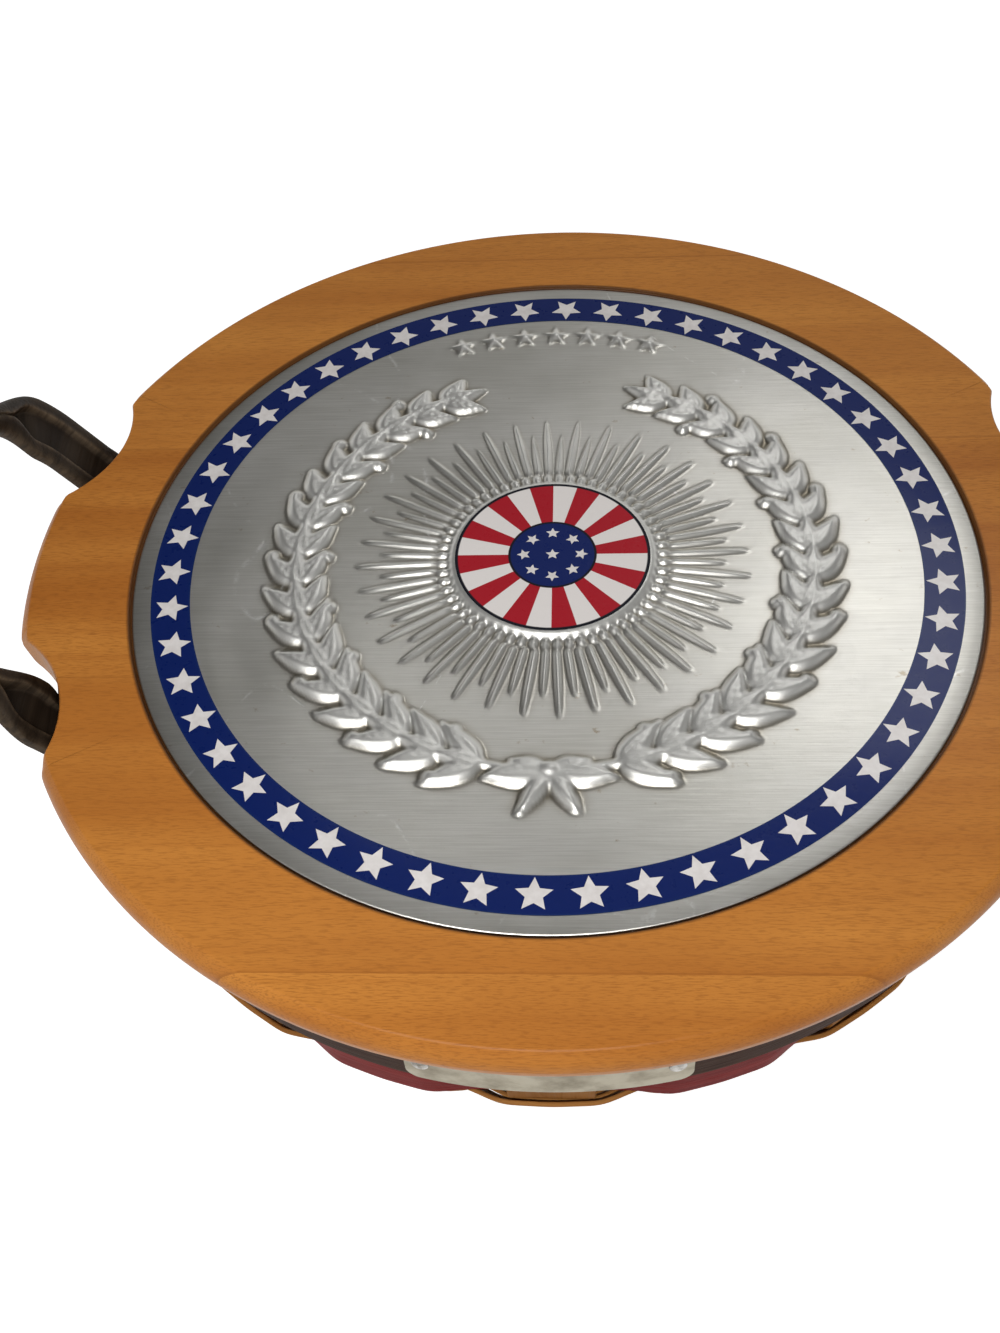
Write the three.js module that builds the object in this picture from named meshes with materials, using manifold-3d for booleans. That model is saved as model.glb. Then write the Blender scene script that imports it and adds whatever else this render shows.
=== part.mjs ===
// A round woven splint basket with a notched wooden lid, an inset metal plate and two leather ear handles.
// Millimetres, +Z up. The origin lies under the middle of the base, handles along X, the tag faces -Y.
import * as THREE from "three";
import { mergeVertices } from "three/addons/utils/BufferGeometryUtils.js";
import Module from "manifold-3d";

// Running gap between neighbouring pieces
const GAP = 0.3;

// Splints that run across the base and up both sides
const UPRIGHTS = 20;
const SPLINT_THICKNESS = 1.6;
const SPLINT_WIDTH = 24;
const HUB_SPLINT_WIDTH = 7;
const HUB_SPLINT_THICKNESS = 0.6;
const HUB_RADIUS = 20;
const HUB_SLOPE_LENGTH = 18;

// Outline of the wall: mid surface of the splints. Slopes are millimetres of radius for each one of height
const RIM_HEIGHT = 148.5;
const RIM_RADIUS = 148.5;
const SHOULDER_SLOPE = 0.27;
const SHOULDER_LENGTH = 16;
const TAPER = 0.45;
const CORNER_HEIGHT = 7.5;
const FOOT_OUTER_RADIUS = 94;
const FOOT_INNER_RADIUS = 86;
const BASE_LIFT = 3.6;
const LIFT_SLOPE_LENGTH = 7;

// Weavers of the wall and of the base
const WEAVER_WIDTH = 16;
const WEAVER_THICKNESS = 1.4;
const ROW_GAP = 0.5;
const WEAVER_REACH = 1.2;
const BASE_WEAVER_WIDTH = 9;
const BASE_WEAVER_GAP = 2.5;
const BASE_WEAVERS = 3;
const FIRST_BASE_WEAVER_RADIUS = 43;

// Trim bands inside and outside the rim
const BAND_HEIGHT = 25;
const BAND_THICKNESS = 2.4;
const BAND_STEPS = 60;
const SPLINT_TOP_DROP = 1;

// Bare metal tag and its two tacks
const TAG_LENGTH = 75;
const TAG_HEIGHT = 19.5;
const TAG_THICKNESS = 1;
const TAG_CORNER = 4;
const TAG_MID_DROP = 12.5;
const TACK_END_DISTANCE = 4.5;
const TACK_HEAD_RADIUS = 2.4;
const TACK_HEAD_HEIGHT = 0.9;
const TACK_SHANK_RADIUS = 0.8;
const TACK_SHANK_LENGTH = 3;
const TACK_POINT_LENGTH = 0.6;
const TACK_FIT = 0.2;

// Wooden lid with its notches and the recess for the plate. It reaches out past the middle of the rim, and
// the floors of its notches keep just clear of the bands
const LID_OVERHANG = 12.8;
const LID_THICKNESS = 12.5;
const LID_EDGE_ROUND = 5.5;
const NOTCH_EDGE_ROUND = 2;
const NOTCH_FLOOR_OVERHANG = 1.5;
const NOTCH_SCOOP_RADIUS = 45.3;
const NOTCH_ANGLE = 18.7;
const NOTCH_REACH_ANGLE = 12;
const NOTCH_MOUTH_BLEND = 2.2;
const RECESS_CLEARANCE = 0.8;
const LOCATING_DISC_THICKNESS = 6;
const LOCATING_DISC_CLEARANCE = 2.5;
const LOCATING_DISC_EASE = 1;

// Metal plate, pressed up into a round boss with rays about it, a wreath of leaves and a row of stars
const PLATE_RADIUS = 127;
const PLATE_THICKNESS = 1.2;
const PLATE_BELOW_LID_TOP = 0.5;
const PLATE_STEPS = 40;
const BOSS_RADIUS = 31;
const BOSS_RISE = 2;
const BOSS_SLOPE = 3;
const RAYS = 36;
const FIRST_RAY_ANGLE = 2.5;
const RAY_START_RADIUS = 35;
const RAY_END_RADIUS = 59;
const RAY_FOOT_WIDTH = 2.4;
const RAY_RISE = 1.1;
const WREATH_RADIUS = 77;
const WREATH_START_ANGLE = -76;
const WREATH_PITCH_ANGLE = 8.6;
const WREATH_PAIRS = 17;
const LEAF_LENGTH = 18.5;
const LEAF_LENGTH_STEP = 0.28;
const LEAF_WIDTH = 7.6;
const LEAF_WIDEST_SHARE = 0.42;
const LEAF_SPREAD_ANGLE = 35.5;
const LEAF_RISE = 2.2;
const BOW_LEAVES = [[-7, 19, 9.5], [-60, 17, 5.5]];
const STARS = 7;
const STAR_CIRCLE_RADIUS = 101.5;
const STAR_PITCH_ANGLE = 6;
const STAR_RADIUS = 5.2;
const STAR_WAIST_RADIUS = 2;
const STAR_RISE = 1.5;

// Screws that hold the locating disc
const SCREWS = 4;
const SCREW_CIRCLE_RADIUS = 104;
const SCREW_HEAD_RADIUS = 4;
const SCREW_SHANK_RADIUS = 1.9;
const SCREW_LENGTH = 13;
const SCREW_HEAD_HEIGHT = 2.4;
const SCREW_HEAD_RIM = 0.4;
const SCREW_POINT_LENGTH = 2;
const SCREW_POINT_RADIUS = 0.3;
const SCREW_HOLE_SPARE = 1;

// Leather ear handles: a flat foot on the band bends outwards, the loop carries on and rolls into a grip
const STRAP_WIDTH = 22;
const STRAP_THICKNESS = 4;
const GRIP_RADIUS = 4.9;
const LEG_ANGLE = 18.5;
const FOOT_LENGTH = 14;
const FOOT_TIP_LENGTH = 5;
const FOOT_TIP_WIDTH = 14;
const FOOT_TIP_ROUND = 1.5;
const BEND_START_DROP = 9.4;
const BEND_RADIUS = 20;
const HANDLE_LEAN = 35;
const LEG_LENGTH = 16;
const SHOULDER_RADIUS = 36;
const FRONT_ROLL = [1, 24];
const REAR_ROLL = [26, 44];

// Rivets through the handle feet, the bands and the splints
const RIVET_DROP = 16;
const RIVET_SHANK_RADIUS = 2;
const RIVET_HEAD_RADIUS = 5;
const RIVET_HEAD_HEIGHT = 2.2;
const RIVET_TAIL_RADIUS = 3;
const RIVET_TAIL_HEIGHT = 1.2;
const WASHER_RADIUS = 5;
const WASHER_THICKNESS = 1;

// How far a drill runs past the faces that it opens
const DRILL_RUN = 4;

// Heights and radii that follow from the sizes above
const DEG = Math.PI / 180;
const PITCH_ANGLE = (2 * Math.PI) / UPRIGHTS;
const FRONT_ANGLE = -Math.PI / 2;
const bandBottom = RIM_HEIGHT - BAND_HEIGHT;
const rowsTop = bandBottom - GAP;
const footMid = SPLINT_THICKNESS / 2;
const baseMid = footMid + BASE_LIFT;
const weaveOffset = (SPLINT_THICKNESS + WEAVER_THICKNESS) / 2 + GAP;
const splintCorner = Math.hypot(RIM_RADIUS + SPLINT_THICKNESS / 2, SPLINT_WIDTH / 2);
const outerBandInner = (splintCorner + GAP) / Math.cos(Math.PI / BAND_STEPS);
const outerBandOuter = outerBandInner + BAND_THICKNESS;
const innerBandOuter = RIM_RADIUS - SPLINT_THICKNESS / 2 - GAP;
const innerBandInner = innerBandOuter - BAND_THICKNESS;
const lidEdgeRadius = RIM_RADIUS + LID_OVERHANG;
const notchFloorRadius = RIM_RADIUS + NOTCH_FLOOR_OVERHANG;
const lidBottom = RIM_HEIGHT + GAP;
const lidTop = lidBottom + LID_THICKNESS;
const plateTop = lidTop - PLATE_BELOW_LID_TOP;
const plateBottom = plateTop - PLATE_THICKNESS;
const recessFloor = plateBottom - GAP;
const recessRadius = PLATE_RADIUS + RECESS_CLEARANCE;
const rivetHeight = RIM_HEIGHT - RIVET_DROP;
const tagMidHeight = RIM_HEIGHT - TAG_MID_DROP;
const wallRows = Math.floor((rowsTop - CORNER_HEIGHT) / (WEAVER_WIDTH + ROW_GAP));

const wasm = await Module();
wasm.setup();

const material = (color, roughness, metalness = 0) =>
  new THREE.MeshStandardMaterial({ color, roughness, metalness });
const HONEY_SPLINT = material(0xb97a3a, 0.55);
const HONEY_WEAVER = material(0xc48543, 0.55);
const RED_WEAVER = material(0x8c2f2c, 0.6);
const DARK_BAND = material(0x4a3023, 0.6);
const LID_WOOD = material(0xc27a37, 0.4);
const PLY = material(0xc79a62, 0.6);
const SILVER = material(0xc6c6c2, 0.35, 1);
const TAG_METAL = material(0xb5afa2, 0.45, 1);
const STEEL = material(0x9a9a98, 0.4, 1);
const BRASS = material(0xa98545, 0.4, 1);
const LEATHER = material(0x33291f, 0.6);

// Closed body from a geometry: shared vertices only, faces turned outwards
function closedBody(geometry) {
  const bare = geometry.clone();
  bare.deleteAttribute("normal");
  bare.deleteAttribute("uv");
  const merged = mergeVertices(bare, 1e-5);
  const at = merged.attributes.position;
  const index = merged.index.array;
  const corners = [new THREE.Vector3(), new THREE.Vector3(), new THREE.Vector3()];
  let volume = 0;
  for (let i = 0; i < index.length; i += 3) {
    corners.forEach((corner, k) => corner.fromBufferAttribute(at, index[i + k]));
    volume += corners[0].dot(corners[1].clone().cross(corners[2]));
  }
  if (volume < 0) index.reverse();
  return merged;
}

// Solid swept through sections that have the same number of points each
function loft(sections, closed = false) {
  const count = sections[0].length;
  const points = sections.flat();
  const index = [];
  const spans = closed ? sections.length : sections.length - 1;
  for (let i = 0; i < spans; i++) {
    const here = i * count;
    const next = ((i + 1) % sections.length) * count;
    for (let j = 0; j < count; j++) {
      const k = (j + 1) % count;
      index.push(here + j, here + k, next + k, here + j, next + k, next + j);
    }
  }
  if (!closed) {
    [sections[0], sections.at(-1)].forEach((section, end) => {
      const start = end ? (sections.length - 1) * count : 0;
      const middle = points.length;
      points.push(section.reduce((sum, p) => sum.clone().add(p), new THREE.Vector3()).divideScalar(count));
      for (let j = 0; j < count; j++) {
        const pair = [start + j, start + ((j + 1) % count)];
        if (end) pair.reverse();
        index.push(middle, pair[1], pair[0]);
      }
    });
  }
  const geometry = new THREE.BufferGeometry().setFromPoints(points);
  geometry.setIndex(index);
  return closedBody(geometry);
}

function toSolid(geometry) {
  const body = closedBody(geometry);
  const vertProperties = Float32Array.from(body.attributes.position.array);
  const triVerts = Uint32Array.from(body.index.array);
  return new wasm.Manifold(new wasm.Mesh({ numProp: 3, vertProperties, triVerts }));
}

function toGeometry(solid) {
  const mesh = solid.getMesh();
  const result = new THREE.BufferGeometry();
  result.setAttribute("position", new THREE.Float32BufferAttribute(mesh.vertProperties, 3));
  result.setIndex(new THREE.Uint32BufferAttribute(mesh.triVerts, 1));
  return result;
}

// The geometry with the tools cut out of it
const cut = (geometry, tools) =>
  toGeometry(tools.reduce((solid, tool) => solid.subtract(toSolid(tool)), toSolid(geometry)));

// The geometry and what is raised on it as one body
const join = (geometry, forms) => toGeometry(wasm.Manifold.union([geometry, ...forms].map(toSolid)));

// Turned piece: [radius, height along the axis] pairs, axis along +X, then set out at an angle and a height
function turnedOutwards(profile, steps, angle, z) {
  const turned = new THREE.LatheGeometry(profile.map(([r, y]) => new THREE.Vector2(r, y)), steps);
  return turned.rotateZ(-Math.PI / 2).rotateZ(angle).translate(0, 0, z);
}

// Round pin along the radius from one distance to another, used as a drill
function radialPin(radius, from, to, angle, z, steps = 10) {
  return turnedOutwards([[0, from], [radius, from], [radius, to], [0, to]], steps, angle, z);
}

// Mid surface of the wall: upright behind the bands, a parabola that bulges out under them, then a cone
function wallRadius(z) {
  const drop = Math.max(0, bandBottom - z);
  const curved = Math.min(drop, SHOULDER_LENGTH);
  const bulge = SHOULDER_SLOPE * curved - ((SHOULDER_SLOPE + TAPER) * curved ** 2) / (2 * SHOULDER_LENGTH);
  return RIM_RADIUS + bulge - TAPER * (drop - curved);
}

// Upper end of a row's straight stretch of the wall, as radius and height; row 0 is the one under the bands
function rowTop(row) {
  const z = rowsTop - row * (WEAVER_WIDTH + ROW_GAP);
  return new THREE.Vector2(wallRadius(z), z);
}

const wallSlope = (z) => wallRadius(z + 0.5) - wallRadius(z - 0.5);
const uprightAngle = (index) => FRONT_ANGLE + index * PITCH_ANGLE;
const outward = (angle) => new THREE.Vector3(Math.cos(angle), Math.sin(angle), 0);
const sideways = (angle) => new THREE.Vector3(-Math.sin(angle), Math.cos(angle), 0);

// Middle line of the handle foot in the +X +Y corner: flat on the band, then bent outwards while it turns
// square to the X axis. A station has its middle and the directions along, across and through the strap.
const legAngle = LEG_ANGLE * DEG;
function footStations() {
  const bends = 6;
  const bendStart = RIM_HEIGHT - BEND_START_DROP;
  const middle = outward(legAngle).multiplyScalar(outerBandOuter + GAP + STRAP_THICKNESS / 2).setZ(bendStart);
  const station = (share) => {
    const lean = share * HANDLE_LEAN * DEG;
    const heading = legAngle * (1 - share);
    const along = outward(heading).multiplyScalar(Math.sin(lean)).setZ(Math.cos(lean));
    const across = sideways(heading);
    return { along, across, through: across.clone().cross(along) };
  };
  const stations = [{ ...station(0), middle: middle.clone() }];
  for (let i = 0; i < bends; i++) {
    middle.addScaledVector(station((i + 0.5) / bends).along, (BEND_RADIUS * HANDLE_LEAN * DEG) / bends);
    stations.push({ ...station((i + 1) / bends), middle: middle.clone() });
  }
  return stations;
}

// Hinge line of a handle: where the bend of the foot ends
const hinge = footStations().at(-1).middle;

// Width of a splint at a distance from the middle: narrow at the hub, full at the rim
function splintWidth(radius) {
  const hubEnd = HUB_RADIUS + HUB_SLOPE_LENGTH;
  const share = THREE.MathUtils.clamp((radius - hubEnd) / (RIM_RADIUS - hubEnd), 0, 1);
  return HUB_SPLINT_WIDTH + (SPLINT_WIDTH - HUB_SPLINT_WIDTH) * share;
}

// One half of a splint from the hub to the rim, as radius and height
function splintProfile(level) {
  const hubMid = baseMid + level * (HUB_SPLINT_THICKNESS + GAP);
  const cornerRadius = wallRadius(CORNER_HEIGHT) - wallSlope(CORNER_HEIGHT) * (CORNER_HEIGHT - footMid);
  const corner = new THREE.QuadraticBezierCurve(
    new THREE.Vector2(FOOT_OUTER_RADIUS, footMid),
    new THREE.Vector2(cornerRadius, footMid),
    new THREE.Vector2(wallRadius(CORNER_HEIGHT), CORNER_HEIGHT),
  );
  const profile = [
    new THREE.Vector2(HUB_RADIUS, hubMid),
    new THREE.Vector2(HUB_RADIUS + HUB_SLOPE_LENGTH, baseMid),
    new THREE.Vector2(FOOT_INNER_RADIUS - LIFT_SLOPE_LENGTH, baseMid),
    new THREE.Vector2(FOOT_INNER_RADIUS, footMid),
    ...corner.getPoints(3),
  ];
  for (let row = wallRows - 1; row >= 0; row--) profile.push(rowTop(row));
  profile.push(new THREE.Vector2(RIM_RADIUS, RIM_HEIGHT - SPLINT_TOP_DROP));
  return profile;
}

// Splint: flat strip bent up at both ends, its section set square to the path
function splint(index) {
  const half = splintProfile(index);
  const path = [...half.map((p) => new THREE.Vector2(-p.x, p.y)).reverse(), ...half];
  const angle = uprightAngle(index);
  const side = sideways(angle);
  const sections = path.map((point, i) => {
    const ahead = path[Math.min(i + 1, path.length - 1)];
    const behind = path[Math.max(i - 1, 0)];
    const before = point.clone().sub(behind).normalize();
    const after = ahead.clone().sub(point).normalize();
    const along = before.add(after).normalize();
    const lean = Math.max(0.6, along.dot(i + 1 < path.length ? after : along));
    const inHub = Math.abs(point.x) <= HUB_RADIUS + 0.01;
    const thickness = (inHub ? HUB_SPLINT_THICKNESS : SPLINT_THICKNESS) / lean;
    const width = splintWidth(Math.abs(point.x));
    const normal = outward(angle).multiplyScalar(-along.y).add(new THREE.Vector3(0, 0, along.x));
    const middle = outward(angle).multiplyScalar(point.x).add(new THREE.Vector3(0, 0, point.y));
    return [[1, 1], [-1, 1], [-1, -1], [1, -1]].map(([across, through]) =>
      middle
        .clone()
        .addScaledVector(side, (across * width) / 2)
        .addScaledVector(normal, (through * thickness) / 2),
    );
  });
  return loft(sections);
}

// Ring woven over one splint and under the next. Its two edges hold a radius and a height on the mid
// surface, and the normal says which way over and under lie. It lies flat along each splint and swings
// across to the other face in the gap before the next one.
function weaver(edges, normal, reach, firstSide) {
  const sections = [];
  const section = (place, swing) => {
    const corner = (edge, face) => {
      const lift = swing * weaveOffset + (face * WEAVER_THICKNESS) / 2;
      return place(edge.x + normal.x * lift).setZ(edge.y + normal.y * lift);
    };
    sections.push([corner(edges[0], 1), corner(edges[1], 1), corner(edges[1], -1), corner(edges[0], -1)]);
  };
  for (let i = 0; i < UPRIGHTS; i++) {
    const swing = i % 2 ? -firstSide : firstSide;
    const here = uprightAngle(i);
    for (const end of [-reach, reach]) {
      section((r) => outward(here).multiplyScalar(r).addScaledVector(sideways(here), end), swing);
    }
  }
  return loft(sections, true);
}

// Wall row counted from the rim down; row 0 runs under the front splint
function wallWeaver(row) {
  const middle = rowTop(row).add(rowTop(row + 1)).divideScalar(2);
  const up = rowTop(row).sub(rowTop(row + 1)).normalize();
  const edges = [-0.5, 0.5].map((share) => middle.clone().addScaledVector(up, share * WEAVER_WIDTH));
  const reach = splintWidth(rowTop(row).x) / 2 + WEAVER_REACH;
  return weaver(edges, new THREE.Vector2(up.y, -up.x), reach, row % 2 ? 1 : -1);
}

// Base ring counted from the hub outwards
function baseWeaver(ring) {
  const inner = FIRST_BASE_WEAVER_RADIUS + ring * (BASE_WEAVER_WIDTH + BASE_WEAVER_GAP);
  const outer = inner + BASE_WEAVER_WIDTH;
  const reach = splintWidth(outer) / 2 + GAP;
  const edges = [inner, outer].map((radius) => new THREE.Vector2(radius, baseMid));
  return weaver(edges, new THREE.Vector2(0, 1), reach, ring % 2 ? 1 : -1);
}

// Band: turned ring
function band(inner, outer) {
  const profile = [
    [inner, bandBottom],
    [outer, bandBottom],
    [outer, RIM_HEIGHT],
    [inner, RIM_HEIGHT],
    [inner, bandBottom],
  ];
  const turned = new THREE.LatheGeometry(profile.map(([r, z]) => new THREE.Vector2(r, z)), BAND_STEPS);
  return turned.rotateX(Math.PI / 2);
}

// Angles of the four rivets and of the two tacks
const rivetAngles = [legAngle, Math.PI - legAngle, Math.PI + legAngle, -legAngle];
const tagInner = outerBandOuter + GAP;
const tagHalfAngle = TAG_LENGTH / 2 / tagInner;
const tackAngle = tagHalfAngle - TACK_END_DISTANCE / tagInner;
const tackAngles = [FRONT_ANGLE - tackAngle, FRONT_ANGLE + tackAngle];

const rivetDrills = (from, to) =>
  rivetAngles.map((angle) => radialPin(RIVET_SHANK_RADIUS + GAP, from, to, angle, rivetHeight));
const tackHoleRadius = TACK_SHANK_RADIUS + TACK_FIT;
const tackDrills = (from) =>
  tackAngles.map((angle) => radialPin(tackHoleRadius, from, tagInner + DRILL_RUN, angle, tagMidHeight, 8));

// Tag: sheet metal bent to the band, with round corners
function tag() {
  const steps = 16;
  const sections = [];
  for (let i = 0; i <= steps; i++) {
    const along = -Math.cos((i / steps) * Math.PI);
    const fromEnd = (TAG_LENGTH / 2) * (1 - Math.abs(along));
    const inCorner = Math.max(0, TAG_CORNER - fromEnd);
    const drop = TAG_CORNER - Math.sqrt(Math.max(0, TAG_CORNER ** 2 - inCorner ** 2));
    const half = TAG_HEIGHT / 2 - drop;
    const angle = FRONT_ANGLE + along * tagHalfAngle;
    const corner = (radius, z) => outward(angle).multiplyScalar(radius).setZ(tagMidHeight + z);
    const outer = tagInner + TAG_THICKNESS;
    const lower = [corner(tagInner, -half), corner(outer, -half)];
    sections.push([...lower, corner(outer, half), corner(tagInner, half)]);
  }
  return cut(loft(sections), tackDrills(tagInner - DRILL_RUN));
}

// Tack: domed head on the tag, shank into the band
function tack(angle) {
  const seat = tagInner + TAG_THICKNESS + GAP;
  const profile = [
    [0, seat - TACK_SHANK_LENGTH],
    [TACK_SHANK_RADIUS, seat - TACK_SHANK_LENGTH + TACK_POINT_LENGTH],
    [TACK_SHANK_RADIUS, seat],
    [TACK_HEAD_RADIUS, seat],
    [TACK_HEAD_RADIUS * 0.8, seat + TACK_HEAD_HEIGHT * 0.7],
    [0, seat + TACK_HEAD_HEIGHT],
  ];
  return turnedOutwards(profile, 8, angle, tagMidHeight);
}

// Rivet: domed head outside the handle foot, shank through the wall, tail peened over the washer
function rivet(angle) {
  const seat = outerBandOuter + 2 * GAP + STRAP_THICKNESS;
  const washerFace = innerBandInner - 2 * GAP - WASHER_THICKNESS - GAP;
  const profile = [
    [0, washerFace - RIVET_TAIL_HEIGHT],
    [RIVET_TAIL_RADIUS * 0.7, washerFace - RIVET_TAIL_HEIGHT * 0.7],
    [RIVET_TAIL_RADIUS, washerFace],
    [RIVET_SHANK_RADIUS, washerFace],
    [RIVET_SHANK_RADIUS, seat],
    [RIVET_HEAD_RADIUS, seat],
    [RIVET_HEAD_RADIUS * 0.8, seat + RIVET_HEAD_HEIGHT * 0.6],
    [RIVET_HEAD_RADIUS * 0.4, seat + RIVET_HEAD_HEIGHT * 0.95],
    [0, seat + RIVET_HEAD_HEIGHT],
  ];
  return turnedOutwards(profile, 8, angle, rivetHeight);
}

function washer(angle) {
  const outer = innerBandInner - 2 * GAP;
  const inner = outer - WASHER_THICKNESS;
  const hole = RIVET_SHANK_RADIUS + GAP;
  const face = [[hole, inner], [WASHER_RADIUS, inner], [WASHER_RADIUS, outer], [hole, outer], [hole, inner]];
  return turnedOutwards(face, 8, angle, rivetHeight);
}

// Edge of the lid in plan: a circle with four scoops, the mouths rounded by a soft minimum
const notchAngles = [1, -1].flatMap((s) => [s * NOTCH_ANGLE * DEG, Math.PI + s * NOTCH_ANGLE * DEG]);
const wrap = (angle) => Math.atan2(Math.sin(angle), Math.cos(angle));

function lidRadius(angle) {
  const scoopCentre = notchFloorRadius + NOTCH_SCOOP_RADIUS;
  let radius = lidEdgeRadius;
  for (const notch of notchAngles) {
    const off = wrap(angle - notch);
    const across = scoopCentre * Math.sin(off);
    if (Math.cos(off) < 0 || Math.abs(across) >= NOTCH_SCOOP_RADIUS) continue;
    const scoop = scoopCentre * Math.cos(off) - Math.sqrt(NOTCH_SCOOP_RADIUS ** 2 - across ** 2);
    const shares = Math.exp((lidEdgeRadius - scoop) / NOTCH_MOUTH_BLEND);
    radius = lidEdgeRadius - NOTCH_MOUTH_BLEND * Math.log(1 + shares);
  }
  return radius;
}

// Angles where the outline is sampled: wide steps on the rim, fine ones across each notch
function outlineAngles() {
  const notchReach = NOTCH_REACH_ANGLE * DEG;
  const angles = [];
  const rimSteps = 48;
  for (let i = 0; i < rimSteps; i++) {
    const angle = ((i + 0.5) * 2 * Math.PI) / rimSteps;
    if (notchAngles.every((notch) => Math.abs(wrap(angle - notch)) > notchReach)) angles.push(angle);
  }
  for (const notch of notchAngles) {
    for (let i = -5; i <= 5; i++) angles.push(notch + (i / 5) * notchReach);
  }
  return angles.map((a) => (a + 2 * Math.PI) % (2 * Math.PI)).sort((a, b) => a - b);
}

// Lid board: the outline carried up a rounded edge, then in over the top and down into the recess
function lidBoard() {
  const angles = outlineAngles();
  const smallTurn = 0.002;
  const place = angles.map((angle) => {
    const at = (a) => outward(a).multiplyScalar(lidRadius(a));
    const run = at(angle + smallTurn).sub(at(angle - smallTurn)).normalize();
    const depth = (lidEdgeRadius - lidRadius(angle)) / (lidEdgeRadius - notchFloorRadius);
    const round = THREE.MathUtils.lerp(LID_EDGE_ROUND, NOTCH_EDGE_ROUND, Math.min(1, depth * 1.6));
    return { angle, edge: at(angle), inward: new THREE.Vector3(-run.y, run.x, 0), round };
  });
  const loop = (turn, upper) =>
    place.map(({ edge, inward, round }) => {
      const inset = round * (1 - Math.sin(turn));
      const drop = round * (1 - Math.cos(turn));
      return edge
        .clone()
        .addScaledVector(inward, inset)
        .setZ(upper ? lidTop - drop : lidBottom + drop);
    });
  const turns = [0, 30, 60, 90].map((turn) => turn * DEG);
  const circle = (radius, z) => angles.map((angle) => outward(angle).multiplyScalar(radius).setZ(z));
  const sections = [
    ...turns.map((turn) => loop(turn, false)),
    ...turns.toReversed().map((turn) => loop(turn, true)),
    circle(recessRadius, lidTop),
    circle(recessRadius, recessFloor),
  ];
  const holes = screwPlaces.map(([x, y]) =>
    new THREE.CylinderGeometry(SCREW_SHANK_RADIUS + GAP, SCREW_SHANK_RADIUS + GAP, 2 * screwHoleTop, 10)
      .rotateX(Math.PI / 2)
      .translate(x, y, lidBottom),
  );
  return cut(loft(sections), holes);
}

// Locating disc under the lid, inside the rim, with countersunk holes
const discTop = lidBottom - GAP;
const discBottom = discTop - LOCATING_DISC_THICKNESS;
const discRadius = innerBandInner - LOCATING_DISC_CLEARANCE;
const screwPlaces = Array.from({ length: SCREWS }, (_, i) => {
  const angle = ((i + 0.5) * 2 * Math.PI) / SCREWS;
  return [SCREW_CIRCLE_RADIUS * Math.cos(angle), SCREW_CIRCLE_RADIUS * Math.sin(angle)];
});
const screwHoleTop = SCREW_LENGTH + discBottom - lidBottom + SCREW_HOLE_SPARE;

function screwProfile(extra) {
  const bottom = discBottom - (extra ? SCREW_HOLE_SPARE : 0);
  return [
    [0, bottom],
    [SCREW_HEAD_RADIUS + extra, bottom],
    [SCREW_HEAD_RADIUS + extra, discBottom + SCREW_HEAD_RIM],
    [SCREW_SHANK_RADIUS + extra, discBottom + SCREW_HEAD_HEIGHT],
    [SCREW_SHANK_RADIUS + extra, discBottom + SCREW_LENGTH - SCREW_POINT_LENGTH],
    [extra ? SCREW_SHANK_RADIUS + extra : SCREW_POINT_RADIUS, discBottom + SCREW_LENGTH],
    [0, discBottom + SCREW_LENGTH],
  ].map(([r, z]) => new THREE.Vector2(r, z));
}

const screwShape = (x, y, extra) =>
  new THREE.LatheGeometry(screwProfile(extra), 8).rotateX(Math.PI / 2).translate(x, y, 0);

function locatingDisc() {
  const profile = [
    [0, discBottom],
    [discRadius - LOCATING_DISC_EASE, discBottom],
    [discRadius, discBottom + LOCATING_DISC_EASE],
    [discRadius, discTop],
    [0, discTop],
  ].map(([r, z]) => new THREE.Vector2(r, z));
  const disc = new THREE.LatheGeometry(profile, 48).rotateX(Math.PI / 2);
  return cut(disc, screwPlaces.map(([x, y]) => screwShape(x, y, GAP)));
}

// Raised form on the plate: its outline sunk into the metal, and drawn up to a point over its middle
function raised(outline, rise) {
  const count = outline.length;
  const middle = outline.reduce((sum, p) => sum.add(p), new THREE.Vector2()).divideScalar(count);
  const sunk = plateTop - PLATE_THICKNESS / 2;
  const at = (p, z) => new THREE.Vector3(p.x, p.y, z);
  const points = [sunk, plateTop].flatMap((z) => outline.map((p) => at(p, z)));
  points.push(at(middle, sunk), at(middle, plateTop + rise));
  const index = [];
  for (let i = 0; i < count; i++) {
    const k = (i + 1) % count;
    index.push(i, k, count + k, i, count + k, count + i);
    index.push(2 * count, k, i, count + i, count + k, 2 * count + 1);
  }
  const geometry = new THREE.BufferGeometry().setFromPoints(points);
  geometry.setIndex(index);
  return closedBody(geometry);
}

const origin = new THREE.Vector2();

const onPlate = (radius, angle) => new THREE.Vector2(radius * Math.cos(angle), radius * Math.sin(angle));

// Leaf: a kite from its root along a heading, widest before its middle
function leaf(root, heading, length, width) {
  const wide = LEAF_WIDEST_SHARE * length;
  const corners = [[0, 0], [wide, -width / 2], [length, 0], [wide, width / 2]];
  const outline = corners.map((p) => new THREE.Vector2(...p).rotateAround(origin, heading).add(root));
  return raised(outline, LEAF_RISE);
}

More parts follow.
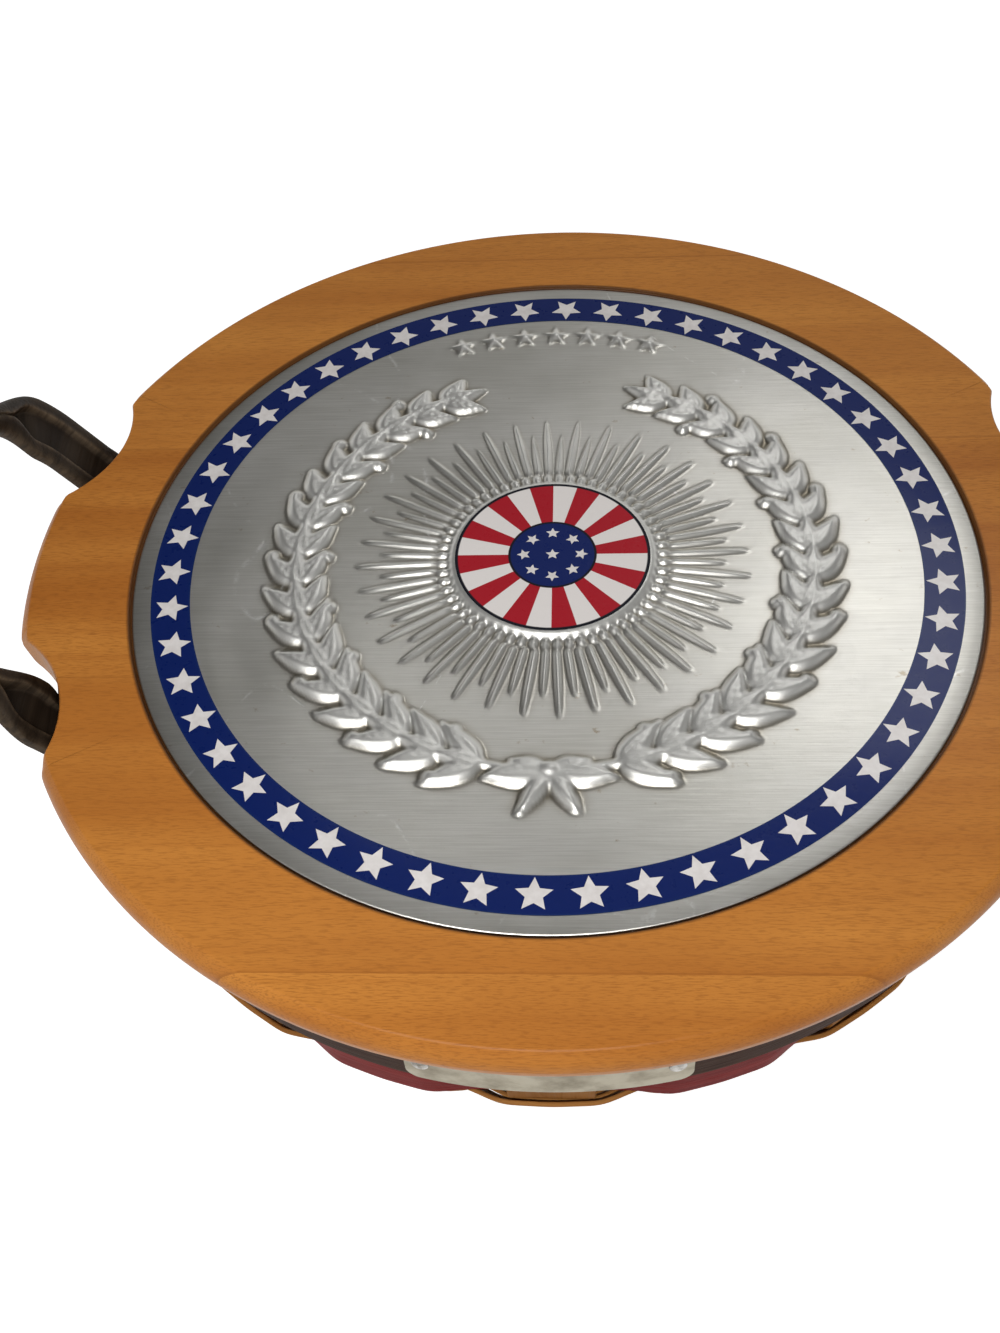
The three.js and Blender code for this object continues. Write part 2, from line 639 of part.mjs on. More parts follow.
// One half of the wreath: pairs of leaves up an arc and one at its end, and half of the bow at its foot
function wreathHalf(side) {
  const forms = [];
  const turned = (degrees) => (side > 0 ? degrees * DEG : Math.PI - degrees * DEG);
  for (let pair = 0; pair < WREATH_PAIRS; pair++) {
    const place = WREATH_START_ANGLE + pair * WREATH_PITCH_ANGLE;
    const length = LEAF_LENGTH - pair * LEAF_LENGTH_STEP;
    const spreads = pair < WREATH_PAIRS - 1 ? [-1, 1] : [-1, 0, 1];
    for (const spread of spreads) {
      const heading = turned(place + 90 + spread * LEAF_SPREAD_ANGLE);
      forms.push(leaf(onPlate(WREATH_RADIUS, turned(place)), heading, length, LEAF_WIDTH));
    }
  }
  const knot = onPlate(WREATH_RADIUS, FRONT_ANGLE);
  for (const [heading, length, width] of BOW_LEAVES) forms.push(leaf(knot, turned(heading), length, width));
  return forms;
}

// Star with five points, one of them away from the middle of the plate
function raisedStar(angle) {
  const centre = onPlate(STAR_CIRCLE_RADIUS, angle);
  const outline = Array.from({ length: 10 }, (_, i) =>
    onPlate(i % 2 ? STAR_WAIST_RADIUS : STAR_RADIUS, angle + (i * Math.PI) / 5).add(centre),
  );
  return raised(outline, STAR_RISE);
}

// Ray: a thin triangle that runs out from the boss
function ray(index) {
  const angle = FIRST_RAY_ANGLE * DEG + (index * 2 * Math.PI) / RAYS;
  const half = RAY_FOOT_WIDTH / 2 / RAY_START_RADIUS;
  const feet = [angle - half, angle + half].map((place) => onPlate(RAY_START_RADIUS, place));
  return raised([...feet, onPlate(RAY_END_RADIUS, angle)], RAY_RISE);
}

function plate() {
  const profile = [
    [0, plateBottom],
    [PLATE_RADIUS, plateBottom],
    [PLATE_RADIUS, plateTop],
    [BOSS_RADIUS + BOSS_SLOPE, plateTop],
    [BOSS_RADIUS, plateTop + BOSS_RISE],
    [0, plateTop + BOSS_RISE],
  ].map(([r, z]) => new THREE.Vector2(r, z));
  const sheet = new THREE.LatheGeometry(profile, PLATE_STEPS).rotateX(Math.PI / 2);
  const rays = Array.from({ length: RAYS }, (_, i) => ray(i));
  const stars = Array.from({ length: STARS }, (_, i) =>
    raisedStar(Math.PI / 2 + (i - (STARS - 1) / 2) * STAR_PITCH_ANGLE * DEG),
  );
  return join(sheet, [...rays, ...wreathHalf(1), ...wreathHalf(-1), ...stars]);
}

// Handle loop: two legs, two round shoulders and a grip in one leaning plane. The flat legs roll up into a
// round cord, the front leg sooner than the rear one.
function handle(side) {
  const lean = HANDLE_LEAN * DEG;
  const up = new THREE.Vector3(side * Math.sin(lean), 0, Math.cos(lean));
  const face = new THREE.Vector3(side * Math.cos(lean), 0, -Math.sin(lean));
  const shoulderY = hinge.y - SHOULDER_RADIUS;
  const line = new THREE.Path();
  line.moveTo(hinge.y, 0);
  line.lineTo(hinge.y, LEG_LENGTH);
  line.absarc(shoulderY, LEG_LENGTH, SHOULDER_RADIUS, 0, Math.PI / 2, false);
  line.lineTo(-shoulderY, LEG_LENGTH + SHOULDER_RADIUS);
  line.absarc(-shoulderY, LEG_LENGTH, SHOULDER_RADIUS, Math.PI / 2, Math.PI, false);
  line.lineTo(-hinge.y, 0);
  const length = line.getLength();
  const sides = 12;
  const section = (point, tangent, halfThickness, roll) => {
    const across = new THREE.Vector3(0, tangent.y, 0).addScaledVector(up, -tangent.x);
    const middle = new THREE.Vector3(side * hinge.x, point.x, hinge.z).addScaledVector(up, point.y);
    const halfWidth = THREE.MathUtils.lerp(STRAP_WIDTH / 2, GRIP_RADIUS, roll);
    const squareness = THREE.MathUtils.lerp(0.3, 1, roll);
    const soft = (v) => Math.sign(v) * Math.abs(v) ** squareness;
    return Array.from({ length: sides }, (_, i) => {
      const turn = ((i + 0.5) * 2 * Math.PI) / sides;
      return middle
        .clone()
        .addScaledVector(across, halfWidth * soft(Math.cos(turn)))
        .addScaledVector(face, halfThickness * soft(Math.sin(turn)));
    });
  };
  const half = STRAP_THICKNESS / 2;
  const roundEnd = [0.96, 0.7].map((share) => [-share * half, half * Math.sqrt(1 - share * share)]);
  const end = (y, list) =>
    list.map(([s, thick]) => section(new THREE.Vector2(y, s), new THREE.Vector2(0, Math.sign(y)), thick, 0));
  const steps = 32;
  const sections = end(hinge.y, roundEnd);
  for (let i = 0; i <= steps; i++) {
    const along = (i / steps) * length;
    const rear = THREE.MathUtils.smoothstep(along, ...REAR_ROLL);
    const front = THREE.MathUtils.smoothstep(length - along, ...FRONT_ROLL);
    const roll = Math.min(rear, front);
    const thick = THREE.MathUtils.lerp(half, GRIP_RADIUS, roll);
    sections.push(section(line.getPoint(i / steps), line.getTangent(i / steps), thick, roll));
  }
  sections.push(...end(-hinge.y, roundEnd.toReversed()));
  return loft(sections);
}

// Handle foot: the leg's lower end, riveted flat to the band and bent outwards up to the hinge line
function handleFoot(side, end) {
  const stations = footStations();
  const bend = stations.slice(1);
  const stop = bend.at(-1);
  stop.middle.addScaledVector(stop.along, -STRAP_THICKNESS / 2 - GAP);
  const sections = [];
  const put = ({ middle, across, through }, width) => {
    const corners = [[1, 1], [-1, 1], [-1, -1], [1, -1]].map(([a, b]) =>
      middle
        .clone()
        .addScaledVector(across, (a * width) / 2)
        .addScaledVector(through, (b * STRAP_THICKNESS) / 2)
        .multiply(new THREE.Vector3(side, end, 1)),
    );
    sections.push(corners);
  };
  const flat = [
    [0, FOOT_TIP_WIDTH * 0.7],
    [FOOT_TIP_ROUND, FOOT_TIP_WIDTH],
    [FOOT_TIP_LENGTH, STRAP_WIDTH],
    [FOOT_LENGTH, STRAP_WIDTH],
  ];
  for (const [height, width] of flat) {
    const middle = stations[0].middle.clone().add(new THREE.Vector3(0, 0, height - FOOT_LENGTH));
    put({ ...stations[0], middle }, width);
  }
  for (const station of bend) put(station, STRAP_WIDTH);
  const angle = Math.atan2(end * Math.sin(legAngle), side * Math.cos(legAngle));
  const beyond = outerBandOuter + STRAP_THICKNESS + DRILL_RUN;
  const drill = radialPin(RIVET_SHANK_RADIUS + GAP, innerBandInner, beyond, angle, rivetHeight);
  return cut(loft(sections), [drill]);
}

const basket = new THREE.Group();
const lid = new THREE.Group();

function add(group, name, geometry, look) {
  const mesh = new THREE.Mesh(geometry, look);
  mesh.name = name;
  group.add(mesh);
}

// Splints; the ones under the handles are drilled for the rivets
const offRivet = (angle) => rivetAngles.map((rivetAngle) => Math.abs(Math.sin(rivetAngle - angle)));
for (let i = 0; i < UPRIGHTS / 2; i++) {
  const strip = splint(i);
  const underRivet = Math.min(...offRivet(uprightAngle(i))) * RIM_RADIUS < SPLINT_WIDTH / 2;
  const drills = underRivet ? rivetDrills(innerBandInner, outerBandOuter) : [];
  add(basket, `splint_${i + 1}`, drills.length ? cut(strip, drills) : strip, HONEY_SPLINT);
}

// Weavers of the wall, the top one red, and of the base
for (let row = 0; row < wallRows; row++) {
  add(basket, `wall_weaver_${row + 1}`, wallWeaver(row), row ? HONEY_WEAVER : RED_WEAVER);
}
for (let ring = 0; ring < BASE_WEAVERS; ring++) {
  add(basket, `base_weaver_${ring + 1}`, baseWeaver(ring), HONEY_WEAVER);
}

// Bands, tag and tacks
const bandRivetDrills = rivetDrills(innerBandInner - BAND_THICKNESS, outerBandOuter + BAND_THICKNESS);
const tackPits = tackDrills(tagInner + TAG_THICKNESS - TACK_SHANK_LENGTH);
const outerBand = cut(band(outerBandInner, outerBandOuter), [...bandRivetDrills, ...tackPits]);
add(basket, "inner_band", cut(band(innerBandInner, innerBandOuter), bandRivetDrills), HONEY_SPLINT);
add(basket, "outer_band", outerBand, DARK_BAND);
add(basket, "name_tag_blank", tag(), TAG_METAL);
tackAngles.forEach((angle, i) => add(basket, `tag_tack_${i + 1}`, tack(angle), STEEL));

// Handle feet, rivets and washers
[[1, 1, "right_rear"], [1, -1, "right_front"], [-1, 1, "left_rear"], [-1, -1, "left_front"]].forEach(
  ([side, end, place]) => {
    const angle = Math.atan2(end * Math.sin(legAngle), side * Math.cos(legAngle));
    add(basket, `handle_foot_${place}`, handleFoot(side, end), LEATHER);
    add(basket, `handle_rivet_${place}`, rivet(angle), BRASS);
    add(basket, `rivet_washer_${place}`, washer(angle), BRASS);
  },
);

// Lid with its plate and locating disc
add(lid, "lid_board", lidBoard(), LID_WOOD);
add(lid, "lid_plate", plate(), SILVER);
add(lid, "locating_disc", locatingDisc(), PLY);
screwPlaces.forEach(([x, y], i) => add(lid, `disc_screw_${i + 1}`, screwShape(x, y, 0), STEEL));

const part = new THREE.Group();
part.add(basket, lid);
add(part, "handle_right", handle(1), LEATHER);
add(part, "handle_left", handle(-1), LEATHER);

export default part;
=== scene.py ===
"""A lidded woven splint basket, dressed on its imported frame. +Z is up and the metal tag faces -Y.
Shapes are worked out in millimetres and go into the meshes in metres."""

import bmesh
import bpy
import numpy as np
from mathutils import Matrix


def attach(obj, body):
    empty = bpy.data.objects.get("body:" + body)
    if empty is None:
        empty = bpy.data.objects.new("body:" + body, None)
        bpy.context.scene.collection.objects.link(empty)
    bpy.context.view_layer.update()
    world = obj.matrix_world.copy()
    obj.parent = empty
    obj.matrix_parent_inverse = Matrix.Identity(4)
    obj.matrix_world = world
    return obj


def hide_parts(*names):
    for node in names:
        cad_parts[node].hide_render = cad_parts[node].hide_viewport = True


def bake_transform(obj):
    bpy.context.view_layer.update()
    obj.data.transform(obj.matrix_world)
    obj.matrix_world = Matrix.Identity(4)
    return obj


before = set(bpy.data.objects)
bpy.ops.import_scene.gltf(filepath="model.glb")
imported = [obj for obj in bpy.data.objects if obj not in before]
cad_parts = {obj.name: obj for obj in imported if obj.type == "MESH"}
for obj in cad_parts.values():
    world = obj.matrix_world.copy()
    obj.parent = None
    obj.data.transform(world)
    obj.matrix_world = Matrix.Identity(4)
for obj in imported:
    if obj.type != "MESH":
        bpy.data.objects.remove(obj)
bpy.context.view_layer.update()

# Ten ash splints cross in the middle of the base and run up both sides, so they stand as twenty uprights.
# Each is riven and scraped to a taper, thinned where the ten lie on each other, and bent up while wet.
uprights = 20
splint_thickness = 1.6
splint_width = 24.0
hub_width = 7.0
hub_thickness = 0.6
hub_radius = 20.0
hub_end = 38.0
splint_top_drop = 1.0
gap = 0.3
rim_height = 148.5
rim_radius = 148.5
band_height = 25.0
band_bottom = rim_height - band_height
shoulder_slope = 0.27
shoulder_length = 16.0
taper = 0.45
corner_height = 7.5
foot_outer = 94.0
foot_inner = 86.0
foot_mid = splint_thickness / 2
base_lift = 3.6
base_lift_run = 7.0
base_mid = foot_mid + base_lift
row_pitch = 16.5
rows_top = band_bottom - gap
wall_rows = 7


def wall_radius(z):
    """Middle of the wall at height z. It is upright behind the bands. Below them a parabola leaves at the
    shoulder slope and bends back to the taper over the shoulder length, and a cone carries on from there."""
    drop = np.maximum(0, band_bottom - z)
    curved = np.minimum(drop, shoulder_length)
    bulge = shoulder_slope * curved - (shoulder_slope + taper) * curved**2 / (2 * shoulder_length)
    return rim_radius + bulge - taper * (drop - curved)


def row_top(row):
    """Radius and height where a row of the weave begins, counted down from the bands."""
    z = rows_top - row * row_pitch
    return np.array([wall_radius(z), z])


def taper_width(radius):
    """Width of a splint: narrow at the hub, growing evenly to full width at the rim."""
    share = np.clip((radius - hub_end) / (rim_radius - hub_end), 0, 1)
    return hub_width + (splint_width - hub_width) * share


def half_splint(level):
    """Broken line of one half of a splint, as radius and height: level at the hub, down to the ring that it
    stands on, round the corner on a quadratic curve, and up the wall from row to row."""
    hub_mid = base_mid + level * (hub_thickness + gap)
    slope = wall_radius(corner_height + 0.5) - wall_radius(corner_height - 0.5)
    corner_radius = wall_radius(corner_height) - slope * (corner_height - foot_mid)
    start, pull = np.array([[foot_outer, foot_mid], [corner_radius, foot_mid]])
    end = np.array([wall_radius(corner_height), corner_height])
    t = np.linspace(0, 1, 7)[:, None]
    corner = (1 - t) ** 2 * start + 2 * t * (1 - t) * pull + t**2 * end
    hub = [[0, hub_mid], [hub_radius, hub_mid], [hub_end, base_mid]]
    foot = [[foot_inner - base_lift_run, base_mid], [foot_inner, foot_mid]]
    wall = [row_top(row) for row in range(wall_rows - 1, -1, -1)]
    return np.vstack([hub, foot, corner, wall, [[rim_radius, rim_height - splint_top_drop]]])


def even_steps(line, step, closed=False):
    """Stations about one step apart on a broken line, found by its arc length."""
    if closed:
        line = np.vstack([line, line[:1]])
    run = np.r_[0, np.cumsum(np.linalg.norm(np.diff(line, axis=0), axis=1))]
    at = np.linspace(0, run[-1], int(run[-1] / step) + 1)
    stations = np.stack([np.interp(at, run, column) for column in line.T], 1)
    return stations[:-1] if closed else stations


def eased(line, reach, closed=False):
    """A line with its corners rounded: each station becomes the mean of those within reach of it, weighted
    by a raised cosine. Open ends are carried on by a half turn, so they stay in place."""
    weights = 1 + np.cos(np.pi * np.arange(-reach, reach + 1) / (reach + 1))
    if closed:
        long = np.vstack([line[-reach:], line, line[:reach]])
    else:
        long = np.vstack([2 * line[0] - line[reach:0:-1], line, 2 * line[-1] - line[-2 : -reach - 2 : -1]])
    return np.stack([np.convolve(column, weights / weights.sum(), "valid") for column in long.T], 1)


def strip(middle, across, through, width, thickness, edge):
    """Points [station, corner] of a flat strip. Round each station stands a rectangle, width by thickness,
    and its corners are quarter circles of radius edge, in four points each."""
    turn = np.radians([90 * quarter + part for quarter in range(4) for part in (0, 30, 60, 90)])
    side = np.repeat([1, -1, -1, 1], 4)
    face = np.repeat([1, 1, -1, -1], 4)
    half_width = np.broadcast_to(np.asarray(width) / 2, len(middle))[:, None]
    half_thickness = np.broadcast_to(np.asarray(thickness) / 2, len(middle))[:, None]
    round_off = np.minimum(edge, 0.9 * half_thickness)
    a = side * (half_width - round_off) + round_off * np.cos(turn)
    b = face * (half_thickness - round_off) + round_off * np.sin(turn)
    return middle[:, None] + a[..., None] * across[:, None] + b[..., None] * through[:, None]


def placed(name, data):
    """New object at the origin that holds a mesh, a lamp or a camera."""
    made = bpy.data.objects.new(name, data)
    bpy.context.scene.collection.objects.link(made)
    return made


def skin(name, points, body, ring=False, poles=False, shift=0.0, marks=None):
    """Closed piece over points[i, j], station i along it and point j round it, joined by four-sided faces.
    An open piece gets an end face each side, and points that share a pole are merged. The UV map holds
    metres along and round, moved by shift. Marks are named values at the points."""
    rows, columns = points.shape[:2]
    spans = rows if ring else rows - 1
    i, j = (grid.ravel() for grid in np.meshgrid(np.arange(spans), np.arange(columns), indexing="ij"))
    i2, j2 = (i + 1) % rows, (j + 1) % columns
    quads = np.stack([i * columns + j, i * columns + j2, i2 * columns + j2, i2 * columns + j], 1)
    middle = points.mean(1)
    middle = np.vstack([middle, middle[:1]])[: spans + 1]
    along = shift + np.r_[0, np.cumsum(np.linalg.norm(np.diff(middle, axis=0), axis=1))] / 1000
    section = points[rows // 2]
    section = np.vstack([section, section[:1]])
    around = np.r_[0, np.cumsum(np.linalg.norm(np.diff(section, axis=0), axis=1))] / 1000
    walk = ((i, j), (i, j + 1), (i + 1, j + 1), (i + 1, j))
    uv = np.stack([np.stack([along[p], around[q]], 1) for p, q in walk], 1)
    flat = points.reshape(-1, 3) / 1000
    # The signed volume, a dot b cross c summed over the triangles, is negative where they face inwards
    a, b, c, d = flat[quads].transpose(1, 0, 2)
    volume = np.sum(a * (np.cross(b, c) + np.cross(c, d)))
    ends = [] if ring else [list(range(columns))[::-1], list(range((rows - 1) * columns, rows * columns))]
    for end in ends:
        fan = flat[end]
        volume += np.sum(fan[0] * np.cross(fan[1:-1], fan[2:]))
    if volume < 0:
        quads, uv = quads[:, ::-1], uv[:, ::-1]
        ends = [end[::-1] for end in ends]
    mesh = bpy.data.meshes.new(name)
    mesh.from_pydata(flat.tolist(), [], quads.tolist() + ends)
    end_uv = np.tile([along[0], 0], (sum(len(end) for end in ends), 1))
    mesh.uv_layers.new(name="Along").data.foreach_set("uv", np.vstack([uv.reshape(-1, 2), end_uv]).ravel())
    for mark, values in (marks or {}).items():
        mesh.attributes.new(mark, "FLOAT", "POINT").data.foreach_set("value", values.ravel())
    if poles:
        solid = bmesh.new()
        solid.from_mesh(mesh)
        bmesh.ops.remove_doubles(solid, verts=solid.verts, dist=1e-7)
        solid.to_mesh(mesh)
        solid.free()
    mesh.shade_smooth()
    piece = placed(name, mesh)
    piece.modifiers.new("even shading", "WEIGHTED_NORMAL")
    if body:
        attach(piece, body)
    return piece


def dress(piece, material, slot, *nodes):
    """Gives a piece its material. It stands for those nodes of the frame; the slot is not used."""
    piece.data.materials.append(material)
    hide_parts(*nodes)


def outward(angle):
    """Level direction away from the middle of the basket."""
    return np.stack([np.cos(angle), np.sin(angle), np.zeros_like(angle)], -1)


def sideways(angle):
    """Level direction round the basket, square to outward."""
    return np.stack([-np.sin(angle), np.cos(angle), np.zeros_like(angle)], -1)


def unit(vectors):
    """The same directions at length one."""
    return vectors / np.linalg.norm(vectors, axis=-1, keepdims=True)


def srgb(red, green, blue):
    """Linear colour of a screen colour from 0 to 255, by the curve ((c + .055) / 1.055) to the power 2.4."""
    linear = ((np.array([red, green, blue]) / 255 + 0.055) / 1.055) ** 2.4
    return (*linear.tolist(), 1.0)


def node(tree, kind, inputs=None, **settings):
    """Adds a shader node. Settings are its own; inputs name its sockets and what feeds or fills them."""
    made = tree.nodes.new("ShaderNode" + kind)
    for key, value in settings.items():
        setattr(made, key, value)
    for socket, value in (inputs or {}).items():
        if isinstance(value, bpy.types.NodeSocket):
            tree.links.new(value, made.inputs[socket])
        else:
            made.inputs[socket].default_value = value
    return made


def finish(name, **plain):
    """New material: returns it with its tree and shader. Plain values go on the shader's own sockets."""
    made = bpy.data.materials.new(name)
    made.use_nodes = True
    shader = made.node_tree.nodes["Principled BSDF"]
    for socket, value in plain.items():
        shader.inputs[socket.replace("_", " ")].default_value = value
    return made, made.node_tree, shader


def streaks(tree, coords, scale, detail=5.0, rough=0.6):
    """Noise drawn out along a grain; scale is its waves to the metre on each axis."""
    stretched = node(tree, "Mapping", {"Vector": coords, "Scale": scale})
    noise = {"Vector": stretched.outputs[0], "Scale": 1.0, "Detail": detail, "Roughness": rough}
    return node(tree, "TexNoise", noise).outputs["Fac"]


def ramp(tree, factor, *stops):
    """Colour along stops of (place, colour)."""
    made = node(tree, "ValToRGB", {"Fac": factor})
    elements = made.color_ramp.elements
    while len(elements) < len(stops):
        elements.new(0.5)
    for element, (place, colour) in zip(elements, stops):
        element.position = place
        element.color = colour if len(np.shape(colour)) else (colour, colour, colour, 1.0)
    return made.outputs["Color"]


def blended(tree, factor, first, second, mode="MIX"):
    """Two colours mixed by a factor in one of the paint modes."""
    made = node(tree, "Mix", data_type="RGBA", blend_type=mode)
    for index, value in ((0, factor), (6, first), (7, second)):
        if isinstance(value, bpy.types.NodeSocket):
            tree.links.new(value, made.inputs[index])
        else:
            made.inputs[index].default_value = value
    return made.outputs[2]


def painted(tree, shader, colour, roughness):
    """Feeds a surface's colour, and its roughness as a grey."""
    tree.links.new(colour, shader.inputs["Base Color"])
    tree.links.new(roughness, shader.inputs["Roughness"])


def bumped(tree, shader, height, depth, strength=1.0):
    """Lays a height pattern over any other; depth is in metres from its low to its high places."""
    made = node(tree, "Bump", {"Height": height, "Distance": depth, "Strength": strength})
    under = shader.inputs["Normal"].links
    if under:
        tree.links.new(under[0].from_socket, made.inputs["Normal"])
    tree.links.new(made.outputs[0], shader.inputs["Normal"])


def splint_wood(name, light, dark, pore, roughness):
    """Riven ash: bands of light and dark along the strip, short dark pores, and a fine raised grain."""
    made, tree, shader = finish(name, Specular_IOR_Level=0.03)
    along = node(tree, "UVMap", uv_map="Along").outputs[0]
    tone = streaks(tree, along, (9, 230, 1))
    slow = streaks(tree, along, (14, 40, 1), detail=2)
    fibre = streaks(tree, along, (55, 1900, 1), detail=3)
    colour = blended(tree, ramp(tree, tone, (0.3, 0.0), (0.7, 1.0)), dark, light)
    shade = ramp(tree, slow, (0.3, 0.75), (0.7, 0.0))
    colour = blended(tree, shade, colour, (0.62, 0.56, 0.5, 1), "MULTIPLY")
    colour = blended(tree, ramp(tree, fibre, (0.56, 0.0), (0.7, 0.65)), colour, pore)
    painted(tree, shader, colour, ramp(tree, fibre, (0.3, roughness - 0.08), (0.7, roughness + 0.12)))
    bumped(tree, shader, tone, 0.00025, 0.5)
    bumped(tree, shader, fibre, 0.00012, 0.7)
    return made


splint_finish = splint_wood("ash splint", srgb(186, 130, 70), srgb(152, 100, 50), srgb(98, 60, 28), 0.5)
strip_edge = 0.4
splint_angles = np.radians(-90 + np.arange(uprights) * 360 / uprights)
for index in range(uprights // 2):
    half = half_splint(index)
    line = eased(even_steps(np.vstack([half[:0:-1] * [-1, 1], half]), step=1.5), reach=3)
    tangent = unit(np.gradient(line, axis=0))
    radius = np.abs(line[:, 0])
    thickness = np.interp(radius, [hub_radius, hub_end], [hub_thickness, splint_thickness])
    # A scraped splint wavers a little in width outside the hub
    waver = 0.25 * np.sin(0.061 * np.arange(len(line)) + index) * np.clip(radius / 60 - 1, 0, 1)
    lengthwise = outward(splint_angles[index])
    middle = line[:, :1] * lengthwise + line[:, 1:] * [0, 0, 1]
    through = -tangent[:, 1:] * lengthwise + tangent[:, :1] * [0, 0, 1]
    across = np.broadcast_to(sideways(splint_angles[index]), middle.shape)
    points = strip(middle, across, through, taper_width(radius) + waver, thickness, strip_edge)
    splint = skin(f"ash_splint_{index + 1}", points, "basket", shift=0.71 * index)
    dress(splint, splint_finish, "honey_splint", f"splint_{index + 1}")

# Three narrow weavers hold the splints of the base apart, and seven wide ones make the wall. Each is one
# strip of ash woven over one upright and under the next, its ends lapped; the top row is stained red.
weaver_thickness = 1.4
weaver_width = 16.0
weave_offset = (splint_thickness + weaver_thickness) / 2 + gap
crown_height = 1.3
dive_depth = 0.9


def woven_ring(inner, outer, normal, reach, first_side, dive=0.0):
    """Points [station, corner] of a weaver. Its edges are radius and height on the splints' mid surface. It
    lies along each upright, out along the normal or back by turns. With a dive it is crowned outside and
    turns in close past the upright: behind the next it lies deeper, and for that share of the gap longer."""
    stations = np.repeat(np.arange(uprights), 3)
    out = (stations % 2 == (first_side < 0))[:, None]
    gap_width = 2 * np.pi * (inner[0] + outer[0]) / 2 / uprights - 2 * reach
    end = np.tile([-1, 0, 1], uprights)[:, None] * np.where(out, reach, reach + dive * gap_width)
    crown = np.tile([0, 1, 0], uprights)[:, None] * dive * crown_height
    lift = np.where(out, weave_offset + crown, -weave_offset - dive * dive_depth)
    here, beside = outward(splint_angles[stations]), sideways(splint_angles[stations])
    edges = []
    for edge in (inner, outer):
        level = (edge[0] + normal[0] * lift) * here + end * beside + (edge[1] + normal[1] * lift) * [0, 0, 1]
        edges.append(eased(even_steps(level, step=1.0, closed=True), reach=5, closed=True))
    count = min(len(edge) for edge in edges)
    edges = [edge[np.round(np.linspace(0, len(edge), count, endpoint=False)).astype(int)] for edge in edges]
    middle = (edges[0] + edges[1]) / 2
    across = unit(edges[1] - edges[0])
    tangent = unit(np.roll(middle, -1, axis=0) - np.roll(middle, 1, axis=0))
    through = unit(np.cross(tangent, across))
    width = np.linalg.norm(edges[1] - edges[0], axis=1)
    return strip(middle, across, through, width, weaver_thickness, strip_edge)


weaver_finish = splint_wood("ash weaver", srgb(194, 138, 76), srgb(160, 108, 56), srgb(104, 66, 32), 0.5)
red_finish = splint_wood("red stained weaver", srgb(146, 36, 34), srgb(114, 26, 25), srgb(62, 14, 13), 0.52)
base_ring_width = 9.0
base_ring_pitch = 11.5
first_base_ring = 43.0
for ring in range(3):
    inner = first_base_ring + ring * base_ring_pitch
    edges = [np.array([radius, base_mid]) for radius in (inner, inner + base_ring_width)]
    reach = taper_width(inner + base_ring_width) / 2 + gap
    points = woven_ring(*edges, np.array([0, 1]), reach, 1 if ring % 2 else -1)
    weaver = skin(f"base_ring_{ring + 1}", points, "basket", ring=True, shift=9 + 0.37 * ring)
    dress(weaver, weaver_finish, "honey_weaver", f"base_weaver_{ring + 1}")
past_upright = 1.8
for row in range(wall_rows):
    centre = (row_top(row) + row_top(row + 1)) / 2
    up = unit(row_top(row) - row_top(row + 1))
    reach = taper_width(row_top(row)[0]) / 2 + past_upright
    edges = [centre + side * up * weaver_width / 2 for side in (-1, 1)]
    points = woven_ring(*edges, np.array([up[1], -up[0]]), reach, 1 if row % 2 else -1, dive=0.45)
    weaver = skin(f"wall_ring_{row + 1}", points, "basket", ring=True, shift=11 + 0.53 * row)
    stain, slot = (weaver_finish, "honey_weaver") if row else (red_finish, "red_weaver")
    dress(weaver, stain, slot, f"wall_weaver_{row + 1}")

# Two bent bands clamp the upper ends of the splints: a dark walnut one outside and a plain ash one inside.
# Each is steamed round a form, planed at its edges and held by the rivets of the handles.
band_thickness = 2.4
band_flats = 60
corner_reach = np.hypot(rim_radius + splint_thickness / 2, splint_width / 2)
outer_band_inner = (corner_reach + gap) / np.cos(np.pi / band_flats)
outer_band_outer = outer_band_inner + band_thickness
inner_band_outer = rim_radius - splint_thickness / 2 - gap
inner_band_inner = inner_band_outer - band_thickness
band_edge = 0.8
band_stations = 360


def full_turn(count):
    """That many angles spread evenly round a circle."""
    return np.linspace(0, 2 * np.pi, count, endpoint=False)


walnut = splint_wood("walnut band", srgb(80, 54, 40), srgb(56, 37, 28), srgb(30, 19, 14), 0.46)
band_turn = full_turn(band_stations)
upright = np.broadcast_to([0.0, 0.0, 1.0], (band_stations, 3))
for name, stood_for, inner, wood, slot in (
    ("rim_band_outside", "outer_band", outer_band_inner, walnut, "dark_band"),
    ("rim_band_inside", "inner_band", inner_band_inner, splint_finish, "honey_splint"),
):
    middle = outward(band_turn) * (inner + band_thickness / 2) + [0, 0, rim_height - band_height / 2]
    points = strip(middle, upright, outward(band_turn), band_height, band_thickness, band_edge)
    rim_band = skin(name, points, "basket", ring=True, shift=len(stood_for))
    dress(rim_band, wood, slot, stood_for)

# The tag is a strip of bare sheet metal with round corners, bent to the band and left blank. Two small
# domed tacks hold its ends; their heads lie on it and their shanks go into the band.
tag_length = 75.0
tag_height = 19.5
tag_thickness = 1.0
tag_corner = 4.0
tag_inner = outer_band_outer + gap
tag_z = rim_height - 12.5
tag_half_angle = tag_length / 2 / tag_inner
tag_stations = 60
along_tag = -np.cos(np.linspace(0, np.pi, tag_stations))
in_corner = np.maximum(0, tag_corner - tag_length / 2 * (1 - np.abs(along_tag)))
tag_width = tag_height - 2 * (tag_corner - np.sqrt(tag_corner**2 - in_corner**2))
tag_angles = -np.pi / 2 + along_tag * tag_half_angle
middle = outward(tag_angles) * (tag_inner + tag_thickness / 2) + [0, 0, tag_z]
points = strip(middle, upright[:tag_stations], outward(tag_angles), tag_width, tag_thickness, 0.3)
tag = skin("bare_tag", points, "basket")


def on_object(tree):
    """Texture coordinates in metres, fixed to the piece."""
    return node(tree, "TexCoord").outputs["Object"]


